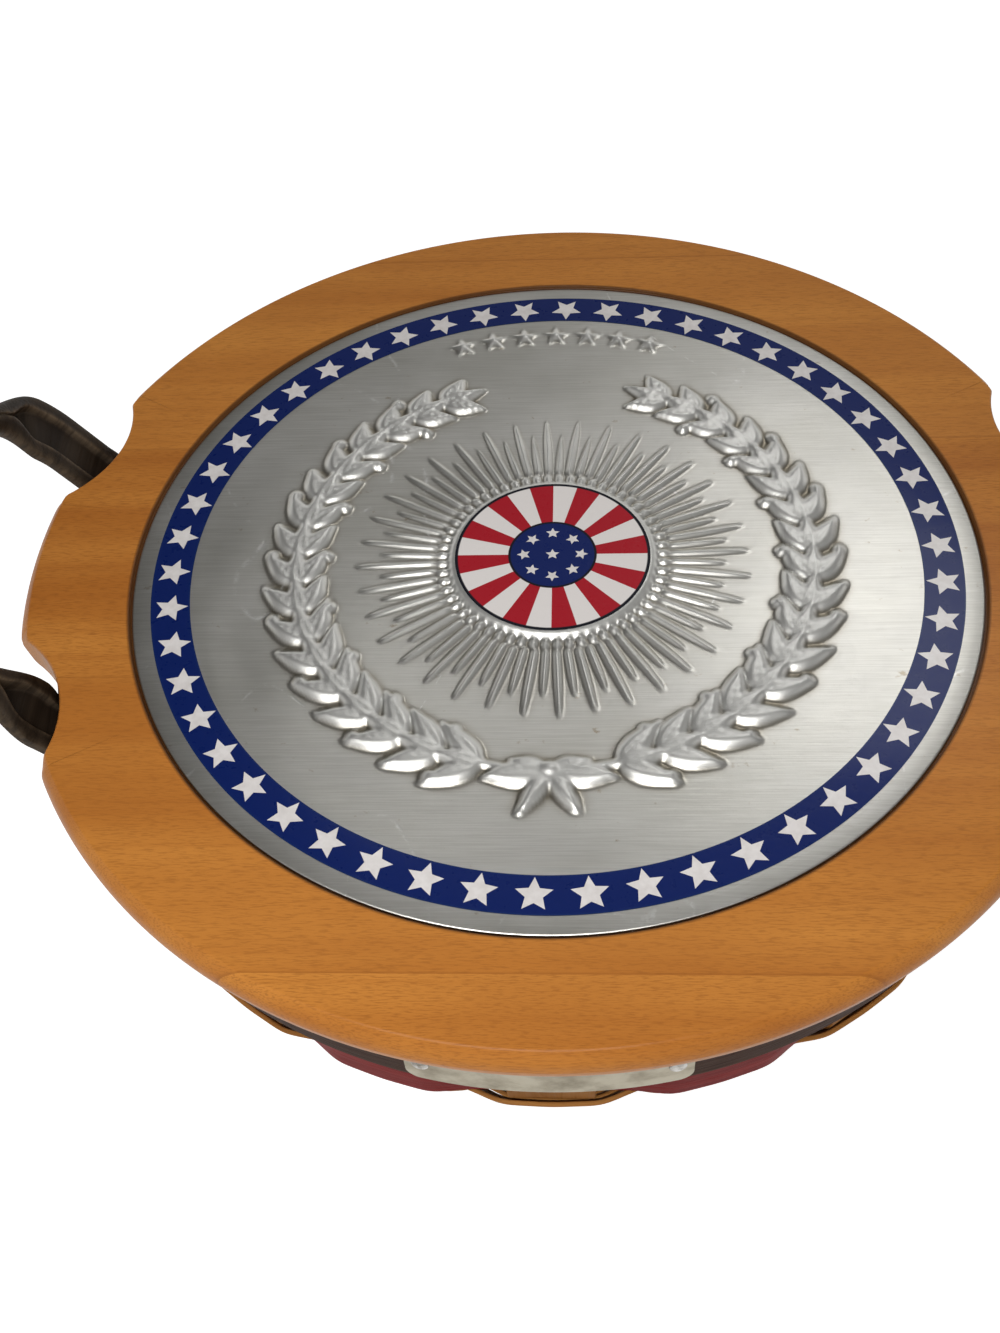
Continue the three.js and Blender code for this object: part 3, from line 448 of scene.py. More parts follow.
tag_metal, tree, shader = finish("bare tag metal", Metallic=1.0, Specular_IOR_Level=0.5)
coords = on_object(tree)
brushed = streaks(tree, coords, (70, 70, 2600), detail=3)
stain = streaks(tree, coords, (90, 90, 120), detail=5)
colour = blended(tree, ramp(tree, stain, (0.45, 0.0), (0.75, 0.8)), srgb(156, 149, 131), srgb(106, 97, 79))
painted(tree, shader, colour, ramp(tree, stain, (0.3, 0.36), (0.7, 0.56)))
bumped(tree, shader, brushed, 0.00004, 0.6)
bumped(tree, shader, stain, 0.0003, 0.25)
dress(tag, tag_metal, "tag_metal", "name_tag_blank")


def turned(profile, angle, z, steps=28):
    """Points [step, profile point] of a turned piece whose axis points out from the basket at that angle and
    height. The profile is pairs of radius and distance from the middle of the basket."""
    spin = full_turn(steps)[:, None, None]
    radius, out = np.array(profile).T[:, None, :, None]
    around = np.cos(spin) * sideways(angle) + np.sin(spin) * np.array([0, 0, 1])
    return out * outward(angle) + radius * around + [0, 0, z]


def dome(radius, seat, rise, steps=7):
    """Half outline of a dome: a quarter ellipse from its rim at the seat to its top."""
    quarter = np.linspace(0, np.pi / 2, steps)
    return np.stack([radius * np.cos(quarter), seat + rise * np.sin(quarter)], 1)


def worn_metal(name, clean, tarnished, roughness):
    """Small cast or drawn metal: cleaner patches over tarnish, slightly pitted."""
    made, tree, shader = finish(name, Metallic=1.0, Specular_IOR_Level=0.5)
    patch = streaks(tree, on_object(tree), (420, 420, 420), detail=4)
    colour = blended(tree, ramp(tree, patch, (0.4, 0.0), (0.65, 1.0)), clean, tarnished)
    painted(tree, shader, colour, ramp(tree, patch, (0.35, roughness), (0.7, roughness + 0.2)))
    bumped(tree, shader, patch, 0.00005, 0.4)
    return made


steel = worn_metal("plain steel", srgb(178, 176, 172), srgb(120, 114, 104), 0.3)
tack_seat = tag_inner + tag_thickness + gap
tack_inset = 4.5
tack_length = 3.0
tack_point = 0.6
tack_radius = 0.8
tack_head = 2.4
tack_head_rise = 0.9
for index, side in enumerate((-1, 1)):
    angle = np.float64(-np.pi / 2 + side * (tag_half_angle - tack_inset / tag_inner))
    sharp_end = tack_seat - tack_length
    shank = [[0, sharp_end], [tack_radius, sharp_end + tack_point], [tack_radius, tack_seat]]
    points = turned(np.vstack([shank, dome(tack_head, tack_seat, tack_head_rise)]), angle, tag_z)
    tack = skin(f"tag_tack_head_{index + 1}", points, "basket", ring=True, poles=True)
    dress(tack, steel, "steel", f"tag_tack_{index + 1}")

# Four brass rivets go through the handle feet, both bands and the splints. Each has a domed head outside
# and a tail that is hammered over a washer inside the rim.
leg_angle = np.radians(18.5)
strap_thickness = 4.0
rivet_z = rim_height - 16
rivet_seat = outer_band_outer + 2 * gap + strap_thickness
washer_outer = inner_band_inner - 2 * gap
washer_inner = washer_outer - 1.0
tail_seat = washer_inner - gap
brass = worn_metal("aged brass", srgb(186, 148, 84), srgb(112, 82, 44), 0.28)
shank_radius = 2.0
tail_radius = 3.0
tail_rise = 1.2
head_radius = 5.0
head_rise = 1.8
edge_break = 0.2
hole = shank_radius + gap
corners = {"right_rear": (1, 1), "right_front": (1, -1), "left_rear": (-1, 1), "left_front": (-1, -1)}
for corner, (side, end) in corners.items():
    angle = np.arctan2(end * np.sin(leg_angle), side * np.cos(leg_angle))
    tail = dome(tail_radius, tail_seat, -tail_rise)[::-1]
    shank = [[shank_radius, tail_seat], [shank_radius, rivet_seat]]
    under_head = [[head_radius - edge_break, rivet_seat], [head_radius, rivet_seat + edge_break]]
    head = dome(head_radius, rivet_seat + 2 * edge_break, head_rise)
    profile = np.vstack([tail, shank, under_head, head])
    points = turned(profile, angle, rivet_z, 36)
    rivet = skin(f"brass_rivet_{corner}", points, "basket", ring=True, poles=True)
    dress(rivet, brass, "brass", f"handle_rivet_{corner}")
    face_radius = head_radius - edge_break
    section = [[hole, washer_inner], [face_radius, washer_inner], [head_radius, washer_inner + edge_break]]
    section += [[head_radius, washer_outer - edge_break], [face_radius, washer_outer], [hole, washer_outer]]
    washer = skin(f"brass_washer_{corner}", turned(section, angle, rivet_z, 36), "basket", ring=True)
    dress(washer, brass, "brass", f"rivet_washer_{corner}")

# Each ear handle is one strap of dark oiled leather. Its long edges are folded over on the inner side, it
# stands on two flat feet riveted to the band, and it rolls up into a round grip, in front sooner than behind.
strap_width = 22.0
grip_radius = 4.9
lean = np.radians(35)
bend_radius = 20.0
foot_length = 14.0
foot_top = rim_height - 9.4
bend_steps = 24
leg_length = 16.0
shoulder_radius = 36.0


def leaning(share):
    """Direction up the strap once a share of its bend is made: it leans out by that share of the lean, and
    its heading has turned that far from the leg's angle to the X axis. Also gives the direction across."""
    heading = leg_angle * (1 - share)
    tilt = (share * lean)[:, None]
    return outward(heading) * np.sin(tilt) + np.cos(tilt) * [0, 0, 1], sideways(heading)


def foot_line():
    """Stations of a foot in the +X +Y corner from its tip up: straight along the band, then an arc of the
    bend radius that leans out while the heading turns square to the X axis. Summed in small steps."""
    steps, _ = leaning((np.arange(bend_steps) + 0.5) / bend_steps)
    start = outward(leg_angle) * (outer_band_outer + gap + strap_thickness / 2) + [0, 0, foot_top]
    rise = np.array([0, 0.15, 0.4, 0.8, 1.3, 2, 3, 4, 5, 6.5, 8, 9.5, 11, 12.5])[:, None]
    straight = start + (rise - foot_length) * [0, 0, 1]
    curve = start + np.vstack([[0, 0, 0], np.cumsum(steps, axis=0) * bend_radius * lean / bend_steps])
    share = np.r_[np.zeros(len(rise)), 0, (np.arange(bend_steps) + 1) / bend_steps]
    up, across = leaning(share)
    return np.vstack([straight, curve]), across, np.cross(across, up), share


def loop_line(hinge):
    """Stations of the loop in its leaning plane, as Y and distance up it: a leg, a quarter circle, the grip,
    a quarter circle and a leg. Returns them in space with their directions and the run from the rear leg."""
    q = np.linspace(0, np.pi / 2, 60)[:, None]
    inside = hinge[1] - shoulder_radius
    rear = np.hstack([inside + shoulder_radius * np.cos(q), leg_length + shoulder_radius * np.sin(q)])
    half = np.vstack([[[hinge[1], 0]], rear, [[0, leg_length + shoulder_radius]]])
    flat = even_steps(np.vstack([half, half[-2::-1] * [-1, 1]]), step=0.8)
    run = np.r_[0, np.cumsum(np.linalg.norm(np.diff(flat, axis=0), axis=1))]
    tangent = unit(np.gradient(flat, axis=0))
    up = np.array([np.sin(lean), 0, np.cos(lean)])
    middle = [hinge[0], 0, hinge[2]] + flat[:, :1] * [0, 1, 0] + flat[:, 1:] * up
    across = tangent[:, 1:] * [0, 1, 0] - tangent[:, :1] * up
    through = np.broadcast_to([np.cos(lean), 0, -np.sin(lean)], middle.shape)
    return middle, across, through, run


def smooth_step(x, low, high):
    """Rises from 0 at low to 1 at high as 3 t squared less 2 t cubed."""
    t = np.clip((x - low) / (high - low), 0, 1)
    return t * t * (3 - 2 * t)


open_trough = 5.6
seam = 0.35


def strap_outline(width, thick, roll, sunk):
    """Across and through values [station, point] round a strap. The back is a superellipse that goes from
    boxy to round with the roll. The front is the same less a trough between the folded edges, which
    deepens to the mouth of the roll and closes to a seam; sunk scales it. Also gives a mark from 0 to 1 on
    the edges and fold ridges, which are drawn lighter: rubbed leather, and partly a painted highlight."""
    width, thick, roll, sunk = (value[:, None] for value in (width, thick, roll, sunk))
    power = 0.3 + 0.7 * roll
    q = np.linspace(0, np.pi, 22)[None]
    back_a = width * np.sign(np.cos(q)) * np.abs(np.cos(q)) ** power
    back_b = thick * np.abs(np.sin(q)) ** power
    trough = open_trough + (seam - open_trough) * smooth_step(roll, 0.05, 0.9)
    trough = np.minimum(trough, 0.55 * width)
    wall = 0.6 - 0.4 * roll
    outer = np.cos(np.linspace(0.16, np.pi / 2, 10))[None]
    reach_a = trough + wall + (width - trough - wall) * outer
    wall_a = trough + wall * np.linspace(0.6, -0.9, 6)[None]
    floor_a = (trough - wall) * np.linspace(0.85, 0.0, 5)[None]
    half_a = np.hstack([reach_a, wall_a, floor_a])
    front_a = np.hstack([-half_a, half_a[:, -2::-1]])
    level = np.clip(1 - np.abs(front_a / width) ** (2 / power), 0, 1) ** (power / 2)
    depth = sunk * (1.9 - 1.2 * roll + 3.6 * (4 * roll * (1 - roll)) ** 1.5)
    inside = 1 - smooth_step(np.abs(front_a), trough - wall, trough + wall)
    front_b = -thick * level + depth * inside
    ridge = np.exp(-(((np.abs(front_a) - trough - wall * 0.9) / 0.8) ** 2)) * np.clip(sunk + 0.2, 0, 1)
    rim = np.abs(back_a / width) ** 8 * 0.8
    a = np.hstack([back_a, front_a])
    rubbing_and_sheen = np.hstack([rim, np.maximum(ridge, np.abs(front_a / width) ** 8 * 0.8)])
    return a, np.hstack([back_b, front_b]), rubbing_and_sheen


foot_middle, foot_across, foot_through, foot_share = foot_line()
loop_middle, loop_across, loop_through, run = loop_line(foot_middle[-1])
strap_middle, strap_across, strap_through = (
    np.vstack([foot[:-1], loop, foot[-2::-1] * [1, -1, 1]])
    for foot, loop in ((foot_middle, loop_middle), (foot_across, loop_across), (foot_through, loop_through))
)
rise = foot_middle[:-1, 2] - foot_middle[0, 2]
tip = np.sqrt(np.clip(1 - (1 - np.minimum(rise, 5) / 5) ** 2, 0.02, 1))
rear_roll, front_roll = (26, 44), (1, 24)
roll = np.minimum(smooth_step(run, *rear_roll), smooth_step(run[-1] - run, *front_roll))
sunk = smooth_step(foot_share[:-1], 0.1, 0.9)
flat_foot = np.zeros(len(rise))
strap_roll = np.r_[flat_foot, roll, flat_foot]
strap_sunk = np.r_[sunk, np.ones(len(roll)), sunk[::-1]]
loop_half = strap_width / 2 + (grip_radius - strap_width / 2) * roll
strap_half = np.r_[strap_width / 2 * tip, loop_half, strap_width / 2 * tip[::-1]]
strap_thick = strap_thickness / 2 * np.r_[0.55 + 0.45 * tip, np.ones(len(roll)), 0.55 + 0.45 * tip[::-1]]
strap_thick += (grip_radius - strap_thickness / 2) * strap_roll
a, b, rubbing_and_sheen = strap_outline(strap_half, strap_thick, strap_roll, strap_sunk)
strap_points = strap_middle[:, None] + a[..., None] * strap_across[:, None]
strap_points += b[..., None] * strap_through[:, None]


def reckoned(tree, operation, first, second=0.5):
    """Result of a Math node on sockets or numbers; some operations leave the second out of account."""
    return node(tree, "Math", {0: first, 1: second}, operation=operation).outputs[0]


leather, tree, shader = finish("oiled leather", Specular_IOR_Level=0.11)
along = node(tree, "UVMap", uv_map="Along").outputs[0]
pebble = node(tree, "TexVoronoi", {"Vector": along, "Scale": 1100.0}, feature="SMOOTH_F1").outputs["Distance"]
crease = streaks(tree, along, (260, 60, 1), detail=5, rough=0.7)
patch = streaks(tree, along, (60, 60, 1), detail=4)
# Lighter flecks on the edges and fold ridges are rubbed leather, and partly a painted highlight where the
# folds catch the light
edge_rubbing_and_sheen = node(tree, "Attribute", attribute_name="rubbing_and_sheen").outputs["Fac"]
fleck_and_highlight = reckoned(tree, "MULTIPLY", edge_rubbing_and_sheen, ramp(tree, crease, (0.42, 0.25), (0.62, 1.0)))
colour = blended(tree, ramp(tree, patch, (0.35, 0.0), (0.65, 1.0)), srgb(33, 26, 20), srgb(49, 40, 31))
colour = blended(tree, ramp(tree, crease, (0.3, 0.8), (0.5, 0.0)), colour, srgb(20, 15, 11))
colour = blended(tree, fleck_and_highlight, colour, srgb(92, 78, 62))
painted(tree, shader, colour, ramp(tree, crease, (0.3, 0.42), (0.7, 0.62)))
bumped(tree, shader, crease, 0.0006, 0.5)
bumped(tree, shader, pebble, 0.00025, 0.5)
for hand, side in (("right", 1), ("left", -1)):
    strap = skin(f"leather_strap_{hand}", strap_points * [side, 1, 1], None, marks={"rubbing_and_sheen": rubbing_and_sheen})
    feet = [f"handle_foot_{hand}_{end}" for end in ("rear", "front")]
    dress(strap, leather, "leather", f"handle_{hand}", *feet)
    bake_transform(strap)

# The lid is a board of honey maple, glued up from five widths and turned with a soft edge. Four scoops let
# the straps pass, and a shallow round recess takes the plate. It is lacquered to a satin shine.
lid_bottom = rim_height + gap
lid_thickness = 12.5
lid_top = lid_bottom + lid_thickness
lid_edge = rim_radius + 12.8
notch_floor = rim_radius + 1.5
scoop_radius = 38.0
mouth_blend = 0.8
plate_radius = 127.0
plate_top = lid_top - 0.5
plate_bottom = plate_top - 1.2
recess_floor = plate_bottom - gap
recess_radius = plate_radius + 0.8
notch_angle = 18.7
notch_angles = np.radians([notch_angle, -notch_angle, 180 - notch_angle, 180 + notch_angle])
edge_round = 7.5
lip_round = 1.5


def lid_radius(angle):
    """Edge of the lid in plan. A notch is a circle scooped out of the rim, and the two outlines are joined by
    a soft minimum: the rim less blend times the log of 1 plus e to the power of their distance by blend."""
    radius = np.full_like(angle, lid_edge)
    centre = notch_floor + scoop_radius
    for notch in notch_angles:
        off = np.angle(np.exp(1j * (angle - notch)))
        across = centre * np.sin(off)
        near = (np.cos(off) > 0) & (np.abs(across) < scoop_radius)
        scoop = centre * np.cos(off) - np.sqrt(np.clip(scoop_radius**2 - across**2, 0, None))
        over = np.clip((lid_edge - scoop) / mouth_blend, None, 50)
        radius = np.where(near, lid_edge - mouth_blend * np.log1p(np.exp(over)), radius)
    return radius


def lid_outline(angle):
    """Points on the edge of the lid."""
    return outward(angle) * lid_radius(angle)[:, None]


def lathed(turns, profile):
    """Points [station, point] of a profile of radii and heights, turned about the basket's axis."""
    return np.stack([outward(turns) * radius + [0, 0, height] for radius, height in profile], 1)


rim_turn = full_turn(1080)
edge = lid_outline(rim_turn)
tangent = unit(lid_outline(rim_turn + 0.002) - lid_outline(rim_turn - 0.002))
inward = np.stack([-tangent[:, 1], tangent[:, 0], 0 * rim_turn], 1)
notch_depth = (lid_edge - lid_radius(rim_turn)) / (lid_edge - notch_floor)
edge_share = 1 - 0.8 * smooth_step(notch_depth, 0.03, 0.3)
# From the flat face a small arc turns down 38 degrees, and a wide one carries on to the upright side
lip, flank = np.radians([0, 9, 18, 28, 38]), np.radians([48, 58, 68, 79, 90])
lip_run, lip_drop = lip_round * np.sin(lip), lip_round * (1 - np.cos(lip))
flank_run = lip_run[-1] + edge_round * (np.sin(flank) - np.sin(lip[-1]))
flank_drop = lip_drop[-1] + edge_round * (np.cos(lip[-1]) - np.cos(flank))
edge_run, edge_drop = np.r_[lip_run, flank_run], np.r_[lip_drop, flank_drop]
levels = [(lid_bottom, 1, k) for k in range(len(edge_run))]
levels += [(lid_top, -1, k) for _, _, k in levels[::-1]]
columns = [edge * 0 + [0, 0, lid_bottom]]
for face, away, k in levels:
    inset = edge_share * (edge_run[-1] - edge_run[k])
    height = face + away * edge_share * edge_drop[k]
    columns.append(edge + inward * inset[:, None] + height[:, None] * [0, 0, 1])
recess = [(recess_radius + 0.5, lid_top), (recess_radius + 0.15, lid_top - 0.12)]
recess += [(recess_radius, lid_top - 0.45), (recess_radius, recess_floor), (0, recess_floor)]
board_points = np.hstack([np.stack(columns, 1), lathed(rim_turn, recess)])
board = skin("maple_lid_board", board_points, "lid", ring=True, poles=True)


def rescaled(tree, value, low, high, to_low=0.0, to_high=1.0):
    """A value carried from the range low to high over to another range, and held at its ends."""
    ends = {"Value": value, "From Min": low, "From Max": high, "To Min": to_low, "To Max": to_high}
    return node(tree, "MapRange", ends).outputs[0]


def from_middle(tree):
    """Distance from the lid's axis, in metres, as a socket."""
    place = node(tree, "SeparateXYZ", {0: on_object(tree)}).outputs
    level = node(tree, "CombineXYZ", {"X": place["X"], "Y": place["Y"]}).outputs[0]
    return node(tree, "VectorMath", {0: level}, operation="LENGTH").outputs["Value"]


maple, tree, shader = finish("lacquered maple", Specular_IOR_Level=0.08, Coat_Weight=0.15, Coat_Roughness=0.2)
coords = on_object(tree)
place = node(tree, "SeparateXYZ", {0: coords}).outputs
# The staves are 1 / 10.7 of a metre wide, and the first joint lies 138 mm in front of the middle
stave = reckoned(tree, "MULTIPLY", reckoned(tree, "ADD", place["Y"], 0.138), 10.7)
number = reckoned(tree, "FLOOR", stave)
within = reckoned(tree, "FRACT", stave)
chance = node(tree, "TexWhiteNoise", {"W": number}, noise_dimensions="1D").outputs["Value"]
moved = node(tree, "CombineXYZ", {"X": chance, "Z": chance}).outputs[0]
moved = node(tree, "VectorMath", {0: coords, 1: moved}, operation="ADD").outputs[0]
figure = streaks(tree, moved, (2.5, 42, 42), detail=3, rough=0.5)
bands = streaks(tree, moved, (2.0, 170, 170), detail=3, rough=0.5)
flecks = streaks(tree, moved, (280, 2500, 2500), detail=2)
cloud = streaks(tree, moved, (18, 20, 20), detail=3)
colour = blended(tree, ramp(tree, figure, (0.36, 0.0), (0.64, 1.0)), srgb(176, 106, 40), srgb(204, 134, 58))
colour = blended(tree, ramp(tree, bands, (0.52, 0.0), (0.7, 0.4)), colour, srgb(164, 94, 34))
colour = blended(tree, ramp(tree, flecks, (0.48, 0.0), (0.66, 0.45)), colour, srgb(126, 70, 24))
colour = blended(tree, ramp(tree, cloud, (0.35, 0.3), (0.65, 0.0)), colour, srgb(160, 94, 36))
colour = blended(tree, ramp(tree, chance, (0.0, 0.0), (1.0, 0.25)), colour, srgb(212, 144, 68))
joint = ramp(tree, within, (0.0, 0.25), (0.004, 0.25), (0.008, 0.0))
colour = blended(tree, joint, colour, srgb(120, 66, 24))
# Just outside the recess the wood is darkened to a thin line: painted shade of the gap round the plate, with
# some dirt in it
recess_gap_shade_and_dirt = rescaled(tree, from_middle(tree), 0.128, 0.1288)
colour = blended(tree, ramp(tree, recess_gap_shade_and_dirt, (0.0, 0.85), (1.0, 0.0)), colour, srgb(62, 36, 18))
painted(tree, shader, colour, ramp(tree, figure, (0.3, 0.38), (0.7, 0.5)))
peel = node(tree, "TexNoise", {"Vector": coords, "Scale": 700.0, "Detail": 1.0}).outputs["Fac"]
bumped(tree, shader, flecks, 0.00008, 0.5)
bumped(tree, shader, peel, 0.0001, 0.4)
dress(board, maple, "lid_wood", "lid_board")

# The plate is aluminium sheet, pressed from behind into a laurel wreath tied with a bow, a row of stars, a
# sunburst and a flat boss, then brushed. The hollows of the relief have kept some dark polish.
boss_radius = 31.0
boss_rise = 2.0
wreath_radius = 77.0
leaf_length = 18.5
leaf_shrink = 0.28
leaf_width = 7.6
leaf_spread = 0.62
leaf_rise = 2.2
berry_radius = 1.9
berry_offset = 8.4
stem_radius = 1.3
bow_rise = 2.3
star_circle = 101.5
star_pitch = 0.105
star_radius = 5.2
rays = 72
ray_start, long_ray, short_ray = 35.0, 59.0, 52.0
ray_rise = 1.1
beads = 60
bead_radius = 1.5
plate_radii = np.concatenate([
    np.linspace(0, 29, 6, endpoint=False), np.linspace(29, 60, 38, endpoint=False),
    np.linspace(60, 108, 78, endpoint=False), np.linspace(108, plate_radius - 0.6, 8),
])
fine_turn = np.linspace(0, 2 * np.pi, 4001)
crowding = np.r_[0, np.cumsum(1 + 1.2 * np.exp(-(((fine_turn[1:] - np.pi / 2) / 0.45) ** 2)))]
plate_turn = np.interp(np.linspace(0, crowding[-1], 720, endpoint=False), crowding, fine_turn)
x = np.cos(plate_turn)[:, None] * plate_radii
y = np.sin(plate_turn)[:, None] * plate_radii
polar_r = np.broadcast_to(plate_radii, x.shape)
polar_t = np.broadcast_to(plate_turn[:, None], x.shape)


def almond(root, heading, length, width, rise):
    """Height of a leaf over the plate: its half width grows as the sine of the share of its length to the
    power .75, it is domed as (1 - q squared) to the power .6 across, and a crease runs down its rib."""
    along = (x - root[0]) * np.cos(heading) + (y - root[1]) * np.sin(heading)
    off = -(x - root[0]) * np.sin(heading) + (y - root[1]) * np.cos(heading)
    share = np.clip(along / length, 0, 1)
    half = np.maximum(width / 2 * np.sin(np.pi * share**0.75), 1e-3)
    inside = (along > 0) & (along < length) & (np.abs(off) < half)
    domed = np.clip(1 - (off / half) ** 2, 0, 1) ** 0.6
    crease = 0.38 * np.exp(-((off / 0.55) ** 2)) * (1 - share)
    veins = 0.07 * np.cos((along - 0.9 * np.abs(off)) * 2.4)
    return np.where(inside, rise * (domed * (1 + veins) - crease) * (0.75 + 0.25 * np.sin(np.pi * share)), 0)


def star_height(centre, heading, radius, rise):
    """Height of a raised star: a five-sided pyramid over the star's outline, highest in its middle."""
    dx, dy = x - centre[0], y - centre[1]
    fold = np.abs((np.arctan2(dy, dx) - heading + np.pi / 5) % (2 * np.pi / 5) - np.pi / 5)
    reach = radius * np.sin(np.pi / 10) / np.sin(np.pi / 10 + fold)
    return rise * np.clip(1 - np.hypot(dx, dy) / reach, 0, 1) ** 0.8


relief = np.zeros_like(x)


def press(form):
    """Raises the sheet to a form wherever it stands higher."""
    np.maximum(relief, form, out=relief)


def ball(distance):
    """Height of a half ball of radius one at a distance from its middle."""
    return np.sqrt(np.clip(1 - distance**2, 0, 1))


for side in (1, -1):
    for step, turn_at in enumerate(np.radians(np.arange(-76, 66, 8.6))):
        root_angle = np.pi / 2 + side * (turn_at - np.pi / 2)
        root = wreath_radius * outward(root_angle)[:2]
        growing = root_angle + side * np.pi / 2
        length = leaf_length - leaf_shrink * step
        for spread in (-leaf_spread, leaf_spread):
            press(almond(root, growing + spread, length, leaf_width, leaf_rise))
        press(almond(root, growing, 15.5, 6.0, 2.4))
        for out in (-berry_offset, berry_offset):
            berry = root * (wreath_radius + out) / wreath_radius
            press(berry_radius * ball(np.hypot(x - berry[0], y - berry[1]) / berry_radius) * (step % 2))
stem_angle = np.abs(np.angle(np.exp(1j * (polar_t + np.pi / 2))))
press(stem_radius * ball((polar_r - wreath_radius) / stem_radius) * (stem_angle < np.radians(150)))
for side in (1, -1):
    for heading, length, width in ((-0.12, 19, 9.5), (-1.05, 17, 5.5), (0.3, 12, 6)):
        turn_at = heading if side > 0 else np.pi - heading
        press(almond((0, -wreath_radius), turn_at, length, width, bow_rise))
press(2.6 * ball(np.hypot(x / 3.4, (y + wreath_radius) / 3.0)))
for step in range(-3, 4):
    turn_at = np.pi / 2 + step * star_pitch
    press(star_height(star_circle * outward(turn_at), turn_at, star_radius, 1.5))
ray_share = np.abs((polar_t * rays / (2 * np.pi)) % 1 - 0.5) * 2
ray_end = np.where(np.floor(polar_t * rays / (2 * np.pi)) % 2 == 0, long_ray, short_ray)
ray_half = np.clip((ray_end - polar_r) / (ray_end - ray_start), 0, 1) ** 0.6
ray_ridge = np.clip(1 - ray_share / np.maximum(ray_half, 1e-3), 0, 1) * (polar_r < ray_end)
press(ray_rise * ray_ridge * smooth_step(polar_r, ray_start - 0.5, ray_start + 1.5))
bead_off = ((polar_t * beads / (2 * np.pi)) % 1 - 0.5) * 2 * np.pi * 33.6 / beads
press(1.4 * ball(np.hypot(bead_off, polar_r - 33.4) / bead_radius))
press(boss_rise * (1 - smooth_step(polar_r, boss_radius - 0.6, boss_radius + 0.9)))
# The pressed sheet is never quite flat between the boss and the printed band
sheet_wave = 0.09 * (np.sin(x / 17 + 1) * np.sin(y / 23) + 0.6 * np.sin(x / 9 - y / 14))
relief += sheet_wave * (1 - smooth_step(polar_r, 96, 108)) * smooth_step(polar_r, 34, 40)
relief = (np.roll(relief, 1, 0) + 2 * relief + np.roll(relief, -1, 0)) / 4
relief[:, 1:-1] = (relief[:, :-2] + 2 * relief[:, 1:-1] + relief[:, 2:]) / 4
# Outside the printed band the rim slopes down a little
relief -= 0.24 * smooth_step(polar_r, 121.6, plate_radius)
# Dark polish stays where the sheet lies lower than the mean of its neighbourhood
local = relief.copy()
for _ in range(3):
    local = sum((np.roll(local, move, axis) for move in (2, -2) for axis in (0, 1)), local) / 5
hollow = np.clip((local - relief) / 0.55, 0, 1) * (polar_r > 33) * (polar_r < 106)
rim = [(plate_radius - 0.2, plate_top - 0.32), (plate_radius, plate_top - 0.55)]
rim += [(plate_radius, plate_bottom), (0, plate_bottom)]
plain = np.zeros((len(plate_turn), len(rim)))
marks = {"polish": np.hstack([hollow, plain]), "raised": np.hstack([np.clip(relief / 1.2, 0, 1), plain])}
plate_points = np.hstack([np.stack([x, y, plate_top + relief], 2), lathed(plate_turn, rim)])
plate = skin("embossed_plate", plate_points, "lid", ring=True, poles=True, marks=marks)

aluminium, tree, shader = finish("brushed aluminium", Metallic=1.0, Specular_IOR_Level=0.5)
coords = on_object(tree)
left_in = node(tree, "Attribute", attribute_name="polish").outputs["Fac"]
brushed = streaks(tree, coords, (45, 2300, 2300), detail=3)
cloud = streaks(tree, coords, (24, 30, 30), detail=4)
spots = streaks(tree, coords, (190, 260, 260), detail=5, rough=0.65)
colour = blended(tree, ramp(tree, cloud, (0.3, 0.0), (0.7, 1.0)), srgb(206, 204, 196), srgb(218, 216, 210))
colour = blended(tree, ramp(tree, brushed, (0.38, 0.28), (0.6, 0.0)), colour, srgb(168, 165, 156))
colour = blended(tree, ramp(tree, spots, (0.66, 0.0), (0.74, 0.6)), colour, srgb(150, 128, 92))
colour = blended(tree, left_in, colour, srgb(150, 142, 126))
course = streaks(tree, coords, (16, 9, 9), detail=1)
scratch = ramp(tree, course, (0.496, 0.0), (0.499, 1.0), (0.501, 1.0), (0.504, 0.0))
scratch = blended(tree, 1.0, scratch, ramp(tree, spots, (0.5, 0.0), (0.62, 0.8)), "MULTIPLY")
colour = blended(tree, scratch, colour, srgb(238, 237, 233))
matt = node(tree, "Attribute", attribute_name="raised").outputs["Fac"]
colour = blended(tree, matt, colour, srgb(226, 225, 220))
rough = blended(tree, matt, ramp(tree, cloud, (0.3, 0.29), (0.7, 0.35)), (0.42, 0.42, 0.42, 1))
painted(tree, shader, colour, rough)
bumped(tree, shader, brushed, 0.00005, 0.5)
bumped(tree, shader, spots, 0.0001, 0.2)
bumped(tree, shader, scratch, -0.00005, 0.6)
dress(plate, aluminium, "plate_metal", "lid_plate")

# Round the plate runs a printed band of blue enamel with dark edges, and on it fifty white stars that point
# to the middle. The prints are thin closed films that lie on the metal under one clear coat.
film_low = plate_top + 0.02
film_high = plate_top + 0.1
star_high = plate_top + 0.16
enamel_inner, enamel_outer = 109.6, 121.4
film = [(enamel_inner, film_low), (enamel_inner, film_high)]
film += [(enamel_outer, film_high), (enamel_outer, film_low)]
blue_band = skin("enamel_band", lathed(full_turn(480), film), "lid", ring=True)


def glazed(tree, shader):
    """Orange peel of a sprayed coat: a soft noise of about one wave to 2 mm."""
    peel = node(tree, "TexNoise", {"Vector": on_object(tree), "Scale": 420.0, "Detail": 2.0}).outputs["Fac"]
    bumped(tree, shader, peel, 0.00016, 0.4)
    return peel


glaze = {"Specular_IOR_Level": 0.12, "Coat_Weight": 0.25, "Coat_Roughness": 0.12}
enamel, tree, shader = finish("blue enamel", **glaze)
scaled = rescaled(tree, from_middle(tree), enamel_inner / 1000, enamel_outer / 1000)
deep, thin = srgb(0, 27, 90), srgb(20, 44, 92)
colour = ramp(tree, scaled, (0.0, thin), (0.05, deep), (0.95, deep), (1.0, thin))
peel = glazed(tree, shader)
colour = blended(tree, ramp(tree, peel, (0.3, 0.12), (0.7, 0.0)), colour, srgb(10, 26, 66))
painted(tree, shader, colour, ramp(tree, peel, (0.3, 0.26), (0.7, 0.36)))
blue_band.data.materials.append(enamel)
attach(blue_band, "lid")


